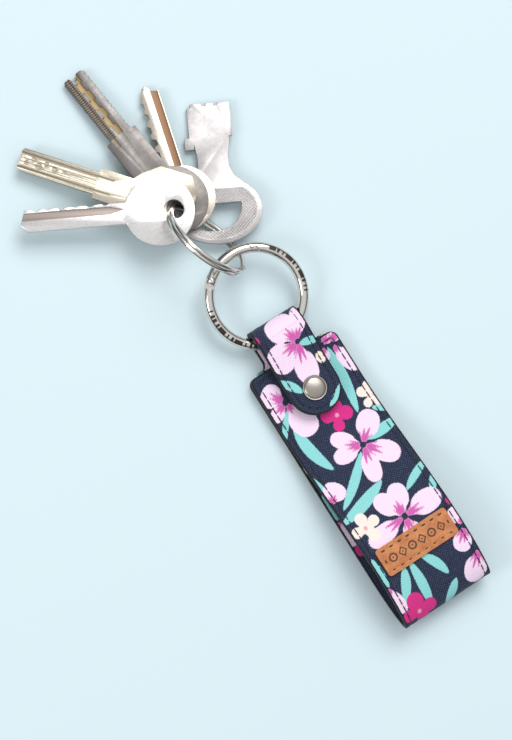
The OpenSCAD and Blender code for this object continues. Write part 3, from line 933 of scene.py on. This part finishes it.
@dataclass
class ClothStrip:
    """One ply of the strap: a grid laid flat, bent along a side path, and given its thickness.

    Attributes:
        name: The piece's name.
        path: The glue line that it follows.
        half_width: Half of its width at each distance along the path.
        side: 1 for the outer ply, -1 for the inner one.
        thickness: Of the ply, in millimetres.
        rows: Distances along the path, one for each row of the grid.
        columns: Number of faces across.
        joint: Distance along the path at which it meets the next stretch of the same cloth.
    """

    name: str
    path: SidePath
    half_width: Callable[[Array], Array]
    side: int
    thickness: float
    rows: Array
    columns: int
    joint: float

    def build(self, seam_in: float, edge_of: Callable[[Array, Array], Array]) -> bpy.types.Object:
        """Makes the bent grid with its flat coordinates, and then its thickness.

        Args:
            seam_in: Distance of the seam from the edge; the cloth dips a little under it.
            edge_of: Distance from the outline at x and the distance along the path.

        Returns:
            The ply as a closed mesh.
        """
        bpy.ops.object.select_all(action="DESELECT")
        bpy.ops.mesh.primitive_grid_add(x_subdivisions=self.columns, y_subdivisions=len(self.rows) - 1,
                                        size=2)
        piece = bpy.context.object
        piece.name = piece.data.name = self.name
        flat = vertices(piece)
        row = np.rint((flat[:, 1] + 1) / 2 * (len(self.rows) - 1)).astype(int)
        distance = self.rows[row]
        x = -self.side * flat[:, 0] * self.half_width(distance)
        edge = np.maximum(edge_of(x, distance), 0)
        dip = 0.14 * np.exp(-((edge - seam_in) / 0.55) ** 2)
        swell = 0.05 * np.sin(x * 0.9 + 1.3) * np.sin(np.abs(distance - self.joint) * 0.23)
        rest = self.path.at(distance, self.side * (self.thickness - dip - 0.05 + np.minimum(swell, 0.04)))
        move_vertices(piece, np.stack([x, rest[:, 0], rest[:, 1]], 1) * MM)
        write_attribute(piece, "edge", edge)
        write_attribute(piece, "cloth", np.stack([x, distance, np.zeros_like(x)], 1))
        return piece

    def thicken(self, piece: bpy.types.Object) -> None:
        """Gives the bent grid its thickness and softens its cut edge, but not where the cloth goes on."""
        apply_modifier(piece, "SOLIDIFY", thickness=(self.thickness - 0.05) * MM, offset=-1.0)
        cloth = np.empty(len(piece.data.vertices) * 3, dtype=np.float32)
        piece.data.attributes["cloth"].data.foreach_get("vector", cloth)
        going_on = np.abs(cloth.reshape(-1, 3)[:, 1] - self.joint) < 0.02
        shell = bmesh.new()
        shell.from_mesh(piece.data)
        weight = shell.edges.layers.float.new("bevel_weight_edge")
        for edge in shell.edges:
            sharp = len(edge.link_faces) == 2 and edge.calc_face_angle() > math.radians(50)
            if sharp and not all(going_on[corner.index] for corner in edge.verts):
                edge[weight] = 1.0
        shell.to_mesh(piece.data)
        shell.free()
        apply_modifier(piece, "BEVEL", width=0.22 * MM, segments=2, limit_method="WEIGHT",
                       use_clamp_overlap=True)
        smooth(piece, 60)


@dataclass
class Seam:
    """A run of stitches: one stitch is modelled, then copied along a route.

    Attributes:
        name: The piece's name.
        pitch: Distance from one stitch to the next, in millimetres.
        thick: The thread's thickness, in millimetres.
    """

    name: str
    pitch: float = 3.3
    thick: float = 0.42
    gap: float = 0.18
    copies: list = field(default_factory=list)

    def _stitch(self) -> bpy.types.Object:
        """Models one stitch along X, with ends that dive into the cloth."""
        bpy.ops.object.select_all(action="DESELECT")
        bpy.ops.mesh.primitive_uv_sphere_add(segments=8, ring_count=6, radius=1, rotation=(0, math.pi / 2, 0))
        piece = bpy.context.object
        piece.data.transform(piece.matrix_world)
        piece.matrix_world = Matrix.Identity(4)
        co = vertices(piece)
        length = (self.pitch - self.gap) / 2
        full = np.sqrt(1 - np.clip(np.abs(co[:, 0]), 0, 1) ** 2 + 1e-9)
        even = np.where(full > 1e-3, np.minimum(full ** -0.45, 2.0), 1.0)[:, None]
        round_part = co[:, 1:] * even * np.array([self.thick / 2, self.thick * 0.42])
        arch = -0.16 * co[:, 0] ** 4
        shape = np.stack([co[:, 0] * length, round_part[:, 0], round_part[:, 1] + arch], 1)
        move_vertices(piece, shape * MM)
        bpy.ops.object.shade_smooth()
        return piece

    def sew(self, route: Array, normals: Array) -> None:
        """Copies the stitch along a route.

        Args:
            route: Points in millimetres, close together.
            normals: The cloth's outward normal at each point.
        """
        steps = np.linalg.norm(np.diff(route, axis=0), axis=1)
        run = np.concatenate([[0], np.cumsum(steps)])
        count = max(int(run[-1] / self.pitch), 1)
        pitch = run[-1] / count
        master = self._stitch()
        for i in range(count):
            here = (i + 0.5) * pitch
            ends = [Vector([np.interp(here + d, run, route[:, k]) for k in range(3)]) for d in (-pitch / 2,
                                                                                                pitch / 2)]
            along = (ends[1] - ends[0]).normalized()
            up = Vector([np.interp(here, run, normals[:, k]) for k in range(3)])
            up = (up - along * up.dot(along)).normalized()
            matrix = Matrix((along, up.cross(along), up)).transposed().to_4x4()
            matrix.translation = (ends[0] + ends[1]) / 2 * MM
            copy = master.copy()
            copy.data = master.data.copy()
            copy.data.transform(matrix)
            bpy.context.collection.objects.link(copy)
            self.copies.append(copy)
        bpy.data.objects.remove(master, do_unlink=True)

    def build(self) -> bpy.types.Object:
        """Joins the stitches."""
        return join(self.copies, self.name)


def cloth_route(path: SidePath, x: Array | float, distance: Array, offset: float) -> tuple[Array, Array]:
    """Points and normals of a route on the cloth.

    Args:
        path: The glue line.
        x: Places across the cloth.
        distance: Distances along the path.
        offset: Height over the glue line, negative for the inner face.

    Returns:
        The points and the normals, as rows of x, y and z.
    """
    place = path.at(distance, offset)
    normal = path.normal(distance) * math.copysign(1, offset)
    across = np.broadcast_to(x, distance.shape)
    return (np.stack([across, place[:, 0], place[:, 1]], 1),
            np.stack([np.zeros_like(distance), normal[:, 0], normal[:, 1]], 1))


@dataclass
class WristStrap:
    """The printed strap: a wrist loop, a neck, a fold for the ring, and the flap that snaps down."""

    shape: StrapShape = field(default_factory=StrapShape)

    def _strap_edge(self, x: Array, distance: Array) -> Array:
        """Distance from the strap's outline."""
        return np.minimum(self.shape.strap_half(distance) - np.abs(x), distance + 0.0)

    def _flap_edge(self, x: Array, distance: Array) -> Array:
        """Distance from the flap's outline."""
        y = self.shape.flap_path().at(distance)[:, 0]
        half = self.shape.neck / 2
        return np.where(y > self.shape.snap_y, half - np.abs(x), half - np.hypot(x, y - self.shape.snap_y))

    def _shoulder(self) -> float:
        """Distance along the glue line at which the back layer narrows to the neck."""
        shape = self.shape
        return shape.strap_path().length - math.pi * shape.fold_r - (shape.fold_y - shape.front_end)

    def _strap_rows(self, step: float) -> Array:
        """Row places along the strap, closer together at its rounded shoulders."""
        path = self.shape.strap_path()
        shoulder = self._shoulder()
        bend = np.sin(np.linspace(0, math.pi / 2, 9))
        near = np.concatenate([self.shape.corner * (1 - bend), shoulder - self.shape.corner * (1 - bend),
                               [shoulder + 0.01], shoulder + self.shape.fillet * (1 - bend)])
        return np.unique(np.round(np.concatenate([np.arange(0, path.length, step), near, [path.length]]), 3))

    def _flap_rows(self, step: float) -> Array:
        """Row places along the flap, closer together at its round end."""
        path = self.shape.flap_path()
        start = path.length - self.shape.neck / 2
        bend = start + self.shape.neck / 2 * np.sin(np.linspace(0, math.pi / 2, 26))
        return np.unique(np.round(np.concatenate([np.arange(0, start, step), bend]), 3))

    def _print_strap(self, piece: bpy.types.Object, mirrored: bool) -> None:
        """Lays the print on a ply of the strap: front, back and fold each take their stretch of the pattern."""
        cloth = np.empty(len(piece.data.vertices) * 3, dtype=np.float32)
        piece.data.attributes["cloth"].data.foreach_get("vector", cloth)
        x, distance = cloth.reshape(-1, 3)[:, 0].astype(float), cloth.reshape(-1, 3)[:, 1].astype(float)
        length = self.shape.strap_path().length
        if mirrored:
            x = -x
        front = FRONT_PRINT.fields(x, self.shape.front_end - distance * 0.985)
        back = FRONT_PRINT.fields(-x, self.shape.front_end - (length - distance) - 4)
        tab = TAB_PRINT.fields(x, self.shape.fold_y + (length - distance) * 0.9)
        turn = 128.0
        for name, values in front.items():
            mixed = np.where(distance < turn, values, np.where(distance < length - 17, back[name], tab[name]))
            write_attribute(piece, name, mixed)

    def build_strap(self) -> None:
        """Makes the strap's two plies and their seams."""
        shape = self.shape
        path = shape.strap_path()
        canvas = PrintedCanvas("printed_polyester_canvas").build()
        lining = PrintedCanvas("printed_polyester_lining", "#202A46").build()
        for name, side, thick, step, columns, finish, slot in (
                ("strap_canvas", 1, shape.outer, 0.6, 64, canvas, "printed_canvas"),
                ("strap_lining", -1, shape.inner, 0.9, 40, lining, "printed_lining")):
            strip = ClothStrip(name, path, shape.strap_half, side, thick, self._strap_rows(step), columns,
                               path.length)
            piece = strip.build(shape.seam_in, self._strap_edge)
            self._print_strap(piece, side < 0)
            strip.thicken(piece)
            node = "strap_outer_ply" if side > 0 else "strap_inner_ply"
            finish_piece(piece, finish, "strap", (node,))
        self._sew_strap(path)

    def _sew_strap(self, path: SidePath) -> None:
        """Sews along the strap's edges, across its front end, and round the fold."""
        shape = self.shape
        seam = Seam("strap_stitches")
        side_x = shape.width / 2 - shape.seam_in
        for x in (-side_x, side_x):
            run = np.linspace(shape.seam_in, 131, 260)
            seam.sew(*cloth_route(path, x, run, shape.outer + 0.02))
            run = np.linspace(shape.seam_in, self._shoulder() - shape.seam_in, 400)
            seam.sew(*cloth_route(path, x, run, -shape.inner - 0.02))
        across = np.linspace(-side_x, side_x, 60)
        seam.sew(*cloth_route(path, across, np.full(60, shape.seam_in), shape.outer + 0.02))
        for x in (-(shape.neck / 2 - shape.seam_in), shape.neck / 2 - shape.seam_in):
            run = np.linspace(path.length - 12.5, path.length, 60)
            seam.sew(*cloth_route(path, x, run, shape.outer + 0.02))
        finish_piece(seam.build(), Thread("bonded_black_thread", "#101114").build(), "strap",
                     ("strap_seams",))

    def build_flap(self) -> None:
        """Makes the flap's two plies and their seams."""
        shape = self.shape
        path = shape.flap_path()
        for name, side, thick, node, finish, slot in (
                ("flap_canvas", 1, shape.outer, "flap_outer_ply", "printed_polyester_canvas",
                 "printed_canvas"),
                ("flap_lining", -1, shape.inner, "flap_inner_ply", "printed_polyester_lining",
                 "printed_lining")):
            strip = ClothStrip(name, path, shape.flap_half, side, thick, self._flap_rows(0.6), 40, 0.0)
            piece = strip.build(shape.seam_in, self._flap_edge)
            cloth = vertices(piece) / MM
            for key, values in TAB_PRINT.fields(cloth[:, 0] * side, cloth[:, 1]).items():
                write_attribute(piece, key, values)
            strip.thicken(piece)
            finish_piece(piece, bpy.data.materials[finish], None, (node,))
            self._bend(piece)
        self._sew_flap(path)

    def _bend(self, piece: bpy.types.Object) -> None:
        """Bakes a piece of the flap's placement into its mesh."""
        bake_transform(piece)

    def _sew_flap(self, path: SidePath) -> None:
        """Sews one seam round the flap on each face."""
        shape = self.shape
        half = shape.neck / 2 - shape.seam_in
        turn = np.linspace(0, math.pi, 90)
        straight = np.linspace(shape.fold_y - 0.6, shape.snap_y, 60)
        y = np.concatenate([straight, shape.snap_y - half * np.sin(turn), straight[::-1]])
        x = np.concatenate([np.full(60, half), half * np.cos(turn), np.full(60, -half)])
        distance = np.interp(-y, -path.points[:, 0], path.run)
        seam = Seam("flap_stitches", pitch=2.7)
        seam.sew(*cloth_route(path, x, distance, shape.outer + 0.02))
        seam.sew(*cloth_route(path, x, distance, -shape.inner - 0.02))
        piece = seam.build()
        finish_piece(piece, bpy.data.materials["bonded_black_thread"], None, ("flap_seams",))
        self._bend(piece)


# ---------------------------------------------------------------- leather label

@dataclass
class LeatherLabel:
    """The leather label on the front layer, its stitches, and a row of plain pressed marks."""

    strap: StrapShape = field(default_factory=StrapShape)
    width: float = 30.8
    height: float = 11.0
    thickness: float = 1.1
    middle: float = -89.6
    corner: float = 1.2
    stitch_in: float = 1.6

    def _marks(self, x: Array, y: Array) -> Array:
        """Signed distance inside the marks: rings and lozenges in turn, with a bar between."""
        best = np.full_like(x, -2.0)
        for i in range(6):
            u, v = x - (-10.6 + i * 4.25), y - self.middle
            if i % 2:
                reach = np.abs(u) + np.abs(v) * 0.85
                mark = 0.30 - np.abs(reach - 1.45)
            else:
                mark = 0.30 - np.abs(np.hypot(u, v) - 1.4)
            best = np.maximum(best, np.maximum(mark, 0.32 - np.hypot(u, v)))
        return best

    def build(self) -> None:
        """Makes the leather, presses the marks in, and sews the label on."""
        height_cells, width_cells = 60, 150
        bpy.ops.object.select_all(action="DESELECT")
        bpy.ops.mesh.primitive_grid_add(x_subdivisions=width_cells, y_subdivisions=height_cells, size=2)
        piece = bpy.context.object
        piece.name = piece.data.name = "leather_label"
        flat = vertices(piece)
        v = flat[:, 1] * self.height / 2
        near = np.clip(np.abs(v) - (self.height / 2 - self.corner), 0, self.corner)
        half = self.width / 2 - self.corner + np.sqrt(self.corner ** 2 - near ** 2)
        x, y = flat[:, 0] * half, self.middle + v
        mark = self._marks(x, y)
        side = self.width / 2 - np.abs(x)
        end = self.height / 2 - np.abs(v)
        sewn = np.exp(-((np.minimum(side, end) - self.stitch_in) / 0.5) ** 2)
        base = self.strap.front_line(y)
        rise = np.clip((self.strap.crown_y - y) / self.strap.nose, 0, 1)
        base = np.where(y < self.strap.crown_y, self._nose(rise), base)
        top = base + self.strap.outer + self.thickness - 0.16 * np.clip(mark / 0.2, 0, 1) - 0.12 * sewn - 0.06
        move_vertices(piece, np.stack([x, y, top], 1) * MM)
        write_attribute(piece, "mark", mark)
        apply_modifier(piece, "SOLIDIFY", thickness=(self.thickness - 0.1) * MM, offset=-1.0)
        apply_modifier(piece, "BEVEL", width=0.25 * MM, segments=3, limit_method="ANGLE",
                       angle_limit=math.radians(50), use_clamp_overlap=True)
        smooth(piece, 50)
        finish_piece(piece, TanLeather().build(), "strap", ("label",))
        self._sew()

    def _nose(self, rise: Array) -> Array:
        """Height of the glue line just past the crown."""
        middle = (self.strap.crown_z + self.strap.outer) / 2
        return middle + (self.strap.crown_z - self.strap.outer) / 2 * np.sqrt(1 - rise ** 2)

    def _sew(self) -> None:
        """Eight stitches along the top and the bottom, and one at each side."""
        seam = Seam("label_stitches", pitch=1.95, thick=0.55, gap=0.35)
        level = float(self.strap.front_line(np.array([self.middle]))[0]) + self.strap.outer + self.thickness - 0.1
        reach = self.height / 2 - self.stitch_in
        for y in (self.middle + reach, self.middle - reach):
            for i in range(8):
                x = -12.6 + i * 3.6
                run = np.linspace(x - 0.9, x + 0.9, 5)
                low = 0.12 if y < self.middle else 0.2
                route = np.stack([run, np.full(5, y), np.full(5, level - low)], 1)
                seam.sew(route, np.tile([0, 0, 1.0], (5, 1)))
        for x in (-(self.width / 2 - self.stitch_in), self.width / 2 - self.stitch_in):
            run = np.linspace(self.middle - 0.8, self.middle + 0.8, 5)
            route = np.stack([np.full(5, x), run, np.full(5, level - 0.1)], 1)
            seam.sew(route, np.tile([0, 0, 1.0], (5, 1)))
        finish_piece(seam.build(), Thread("waxed_brown_thread", "#241610", "#4A3020").build(), "strap",
                     ("label_seam",))


# ---------------------------------------------------------------- snap, rings and keys

@dataclass
class SnapFastener:
    """The snap: a satin domed cap over the flap, its post, socket, stud and back plate."""

    strap: StrapShape = field(default_factory=StrapShape)
    cap_d: float = 9.4

    def build(self) -> None:
        """Spins the cap with its rolled rim, and dresses the other parts of the snap."""
        foot = Vector((0, self.strap.snap_y, self.strap.flap_z + self.strap.outer)) * MM
        low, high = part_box("snap_cap")
        tall = high[2] / MM - foot.z / MM
        r = self.cap_d / 2
        profile = [(0, low[2] / MM - foot.z / MM), (1.2, low[2] / MM - foot.z / MM), (1.2, 0.0),
                   (r - 0.5, 0.0)]
        profile += [(r - 0.35 + 0.35 * math.sin(a), 0.36 - 0.36 * math.cos(a)) for a in
                    [math.pi * k / 8 for k in range(1, 8)]]
        profile += [(r - 0.45, 0.66), (r - 0.6, 0.66)]
        profile += [((r - 0.6) * math.cos(a), 0.66 + (tall - 0.66) * math.sin(a)) for a in
                    [math.pi / 2 * k / 14 for k in range(1, 14)]]
        profile += [(0, tall)]
        cap = spin_profile("snap_dome", profile, foot)
        satin = Metal("satin_nickel_plate", MetalTone.SATIN, 0.32, 0.16).build()
        finish_piece(cap, satin, "flap", ("snap_cap",))
        plated = Metal("plated_snap_brass", MetalTone.STEEL, 0.25).build()
        for node in ("snap_socket", "snap_stud", "snap_post"):
            dress_node(node, plated)


def dress_node(node: str, material: bpy.types.Material) -> None:
    """Gives a CAD node that keeps its own shape a new material."""
    slots = frame["nodes"][node].data.materials
    slots.clear()
    slots.append(material)
    LOG.info("%s: carried over with %s", node, material.name)


def remodel(node: str, name: str, width_mm: float, degrees: float = 30) -> bpy.types.Object:
    """Copies a CAD node's mesh, merges it, and rounds its sharp edges.

    Args:
        node: The CAD node.
        name: The new piece's name.
        width_mm: Width of the rounding.
        degrees: Edges sharper than this are rounded.

    Returns:
        The new piece.
    """
    piece = bpy.data.objects.new(name, frame["nodes"][node].data.copy())
    piece.data.name = name
    bpy.context.collection.objects.link(piece)
    select_only(piece)
    bpy.ops.object.mode_set(mode="EDIT")
    bpy.ops.mesh.select_all(action="SELECT")
    bpy.ops.mesh.remove_doubles(threshold=2e-6)
    bpy.ops.mesh.dissolve_limited(angle_limit=math.radians(0.4))
    bpy.ops.object.mode_set(mode="OBJECT")
    if piece.data.has_custom_normals:
        bpy.ops.mesh.customdata_custom_splitnormals_clear()
    apply_modifier(piece, "BEVEL", width=width_mm * MM, segments=2, limit_method="ANGLE",
                   angle_limit=math.radians(degrees), use_clamp_overlap=True)
    smooth(piece, 35)
    return piece


@dataclass
class GateRing:
    """The round-wire ring with its sprung gate, rivet and spring."""

    tilt: float = 9
    radius: float = 18
    fold_y: float = 1.8
    fold_z: float = 6.0

    def centre(self) -> tuple[float, float, float]:
        """The ring's centre, in metres."""
        reach = self.radius - self.fold_y
        turn = math.radians(self.tilt)
        return 0.0, (self.fold_y + reach * math.cos(turn)) * MM, (self.fold_z + reach * math.sin(turn)) * MM

    def build(self) -> None:
        """Remodels the body and the gate with soft edges, and dresses the rivet and the spring."""
        plate = EngravedMetal("polished_nickel_plate", MetalTone.NICKEL, 0.13, 0.1, centre=self.centre(),
                              tilt=self.tilt, radius_mm=self.radius).build()
        for node, name, body in (("ring_body", "ring_wire", "gate_ring"), ("gate", "ring_gate", "gate")):
            finish_piece(remodel(node, name, 0.12), plate, body, (node,))
        dress_node("gate_hinge_pin", Metal("polished_rivet", MetalTone.BRIGHT, 0.12).build())
        dress_node("gate_spring", Metal("blued_spring_steel", MetalTone.DARK, 0.3).build())


@dataclass
class SplitRing:
    """The split ring: one rounded steel strip wound into two turns side by side, in millimetres."""

    outer_d: float = 35.4
    coil_w: float = 1.5
    coil_h: float = 1.8
    gap: float = 0.06
    cross: float = 25
    start_turn: float = 205
    turn: float = 109.1
    lean: float = 60
    middle: tuple[float, float, float] = (-6.2, 44.4, 16.0)
    steps: int = 260
    sides: int = 16

    def build(self) -> None:
        """Bends a grid into the strip, closes it, and dresses it."""
        bpy.ops.object.select_all(action="DESELECT")
        bpy.ops.mesh.primitive_grid_add(x_subdivisions=self.sides, y_subdivisions=self.steps, size=2)
        piece = bpy.context.object
        piece.name = piece.data.name = "split_ring_coil"
        flat = vertices(piece)
        around = (flat[:, 0] + 1) * math.pi
        angle = self.cross + (flat[:, 1] + 1) / 2 * (720 - 2 * self.cross)
        t = np.clip((angle - 360 + self.cross) / (2 * self.cross), 0, 1)
        side = (self.coil_w + self.gap) / 2 * (2 * t * t * (3 - 2 * t) - 1)
        c, s = np.cos(around), np.sin(around)
        out = self.coil_h / 2 * np.sign(c) * np.abs(c) ** 0.45
        wide = self.coil_w / 2 * np.sign(s) * np.abs(s) ** 0.45
        radius = self.outer_d / 2 - self.coil_h / 2 + out
        a = np.radians(angle)
        local = np.stack([radius * np.cos(a), radius * np.sin(a), side + wide, np.full_like(a, 1)], 1)
        place = (Matrix.Translation(self.middle) @ Matrix.Rotation(math.radians(self.turn), 4, "Z")
                 @ Matrix.Rotation(math.radians(self.lean), 4, "X")
                 @ Matrix.Rotation(math.radians(self.start_turn), 4, "Z"))
        move_vertices(piece, (local @ np.array(place).T)[:, :3] * MM)
        select_only(piece)
        bpy.ops.object.mode_set(mode="EDIT")
        bpy.ops.mesh.select_all(action="SELECT")
        bpy.ops.mesh.remove_doubles(threshold=1e-6)
        bpy.ops.mesh.select_all(action="DESELECT")
        bpy.ops.mesh.select_non_manifold()
        bpy.ops.mesh.edge_face_add()
        bpy.ops.mesh.select_all(action="SELECT")
        bpy.ops.mesh.normals_make_consistent(inside=False)
        bpy.ops.object.mode_set(mode="OBJECT")
        smooth(piece, 50)
        steel = Metal("nickel_plated_spring_steel", MetalTone.NICKEL, 0.16, 0.14).build()
        finish_piece(piece, steel, "split_ring", ("split_ring",))


@dataclass(frozen=True)
class Key:
    """A key: its CAD node, the heading of its blade, and its finish."""

    node: str
    heading: float
    slot: str
    finish: KeyMetal
    edge_mm: float = 0.2


@dataclass
class KeyBunch:
    """The five keys that hang on the split ring."""

    fall: float = 6
    fall_heading: float = 112

    def keys(self) -> tuple[Key, ...]:
        """The keys, lowest first."""
        normal = tuple(frame["joints"][-1]["axis"])
        return (
            Key("flat_key", 62.5, "matt_nickel",
                KeyMetal("tumbled_nickel_silver", MetalTone.MATT, 0.42, 0.15, floor="#B5B0AE", normal=normal,
                         blade_from=90, knurl=True), 0.35),
            Key("narrow_key", 74.9, "plated_key",
                KeyMetal("worn_nickel_plate", MetalTone.PALE, 0.28, 0.2, floor="#8A6C54", normal=normal,
                         blade_from=90)),
            Key("security_key", 95.9, "dark_steel",
                KeyMetal("blasted_dark_steel", MetalTone.DARK, 0.42, 0.2, floor="#94805F", normal=normal,
                         blade_from=36, line_mm=0.9, rack=True, speckle=0.5)),
            Key("dimple_key", 129.6, "nickel_silver",
                KeyMetal("satin_nickel_silver", MetalTone.SILVER, 0.36, 0.2, floor="#A39A86", normal=normal,
                         blade_from=31, line_mm=1.4, speckle=0.2), 0.5),
            Key("round_head_key", 152.8, "bright_key",
                KeyMetal("bright_nickel_plate", MetalTone.BRIGHT, 0.3, 0.12, floor="#A89C94", normal=normal,
                         blade_from=60), 0.3),
        )

    def _own_millimetres(self, key: Key, piece: bpy.types.Object) -> Array:
        """Places of a key's vertices along its blade, across it, and through its thickness."""
        joint = next(j for j in frame["joints"] if j["child"] == key.node)
        turn = (Matrix.Rotation(math.radians(self.fall_heading), 3, "Z")
                @ Matrix.Rotation(math.radians(self.fall), 3, "Y")
                @ Matrix.Rotation(math.radians(key.heading - self.fall_heading), 3, "Z"))
        return (vertices(piece) - np.array(joint["pos_m"])) @ np.array(turn) / MM

    def build(self) -> None:
        """Remodels each key with soft edges and dresses it."""
        for key in self.keys():
            piece = remodel(key.node, key.node + "_cut", key.edge_mm)
            write_attribute(piece, "key", self._own_millimetres(key, piece))
            finish_piece(piece, key.finish.build(), key.node, (key.node,))


# ---------------------------------------------------------------- studio

@dataclass
class Studio:
    """A pale floor, soft light and a camera that looks down at the keychain."""

    target: tuple[float, float, float] = (-13.3, -5.2, 0)
    distance: float = 900
    lens: float = 118
    tilt: float = 11
    roll: float = 32.2
    floor_colour: str = "#D8EAEF"
    floor_fleck: str = "#C8DFE5"
    key_light: tuple[float, float, float] = (0.7, 0.75, 1.5)
    key_size: float = 1.1
    key_power: float = 18
    side_light: tuple[float, float, float] = (-1.2, 0.2, 1.0)
    side_size: float = 0.5
    side_power: float = 5
    horizon_strength: float = 0.08
    zenith_strength: float = 0.84

    def camera(self) -> None:
        """Sets the camera, tilted to the strap's left and turned so that the strap runs down to the right."""
        t, r = math.radians(self.tilt), math.radians(self.roll)
        back = Vector((-math.sin(t), 0, math.cos(t)))
        across, along = Vector((math.cos(t), 0, math.sin(t))), Vector((0, 1, 0))
        right = across * math.cos(r) - along * math.sin(r)
        up = across * math.sin(r) + along * math.cos(r)
        matrix = Matrix((right, up, back)).transposed().to_4x4()
        matrix.translation = (Vector(self.target) + back * self.distance) * MM
        data = bpy.data.cameras.new("camera")
        data.lens = self.lens
        camera = bpy.data.objects.new("camera", data)
        camera.matrix_world = matrix
        bpy.context.collection.objects.link(camera)
        bpy.context.scene.camera = camera

    def floor(self) -> None:
        """A wide matt floor of pale card."""
        bpy.ops.object.select_all(action="DESELECT")
        bpy.ops.mesh.primitive_plane_add(size=8)
        piece = bpy.context.object
        piece.name = "floor"
        material = bpy.data.materials.new("pale_card")
        material.use_nodes = True
        tree = material.node_tree
        shader = tree.nodes["Principled BSDF"]
        grain = add_node(tree, "TexNoise", None, {"Vector": add_node(tree, "TexCoord").outputs["Object"],
                                                  "Scale": 900.0, "Detail": 3.0})
        spread = remap(tree, grain.outputs["Fac"], 0.2, 0.8, 0.0, 0.06)
        tone = mix_colour(tree, spread, linear(self.floor_colour), linear(self.floor_fleck))
        tree.links.new(tone, shader.inputs["Base Color"])
        shader.inputs["Roughness"].default_value = 0.9
        shader.inputs["Specular IOR Level"].default_value = 0.2
        piece.data.materials.append(material)

    def _soft_box(self, name: str, place: tuple[float, float, float], size: float, power: float) -> None:
        """Adds a square soft box that faces the keychain."""
        data = bpy.data.lights.new(name, "AREA")
        data.size = size
        data.energy = power
        lamp = bpy.data.objects.new(name, data)
        lamp.location = place
        lamp.rotation_euler = (-Vector(place)).to_track_quat("-Z", "Y").to_euler()
        bpy.context.collection.objects.link(lamp)

    def lights(self) -> None:
        """A large soft key light, a smaller one that gives the metals their highlights, and a pale room."""
        self._soft_box("key_light", self.key_light, self.key_size, self.key_power)
        self._soft_box("side_light", self.side_light, self.side_size, self.side_power)
        world = bpy.data.worlds.new("room")
        world.use_nodes = True
        tree = world.node_tree
        heading = add_node(tree, "TexCoord").outputs["Generated"]
        height = add_node(tree, "SeparateXYZ", None, {0: heading}).outputs["Z"]
        rise = add_node(tree, "MapRange", {"interpolation_type": "SMOOTHSTEP"},
                        {0: height, 1: 0.15, 2: 0.95, 3: self.horizon_strength, 4: self.zenith_strength})
        back = tree.nodes["Background"]
        back.inputs["Color"].default_value = linear("#FBFCFF")
        tree.links.new(rise.outputs[0], back.inputs["Strength"])
        bpy.context.scene.world = world

    def build(self) -> None:
        """Builds the camera, the floor and the lights."""
        self.camera()
        self.floor()
        self.lights()
        bpy.context.scene.view_settings.view_transform = "Standard"


def main() -> None:
    """Builds the keychain, sub-assembly by sub-assembly, and the studio round it."""
    logging.basicConfig(level=logging.INFO, format="%(name)s: %(message)s")
    Studio().build()
    strap = WristStrap()
    strap.build_strap()
    strap.build_flap()
    LeatherLabel().build()
    SnapFastener().build()
    GateRing().build()
    SplitRing().build()
    KeyBunch().build()


if __name__ == "__main__":
    main()
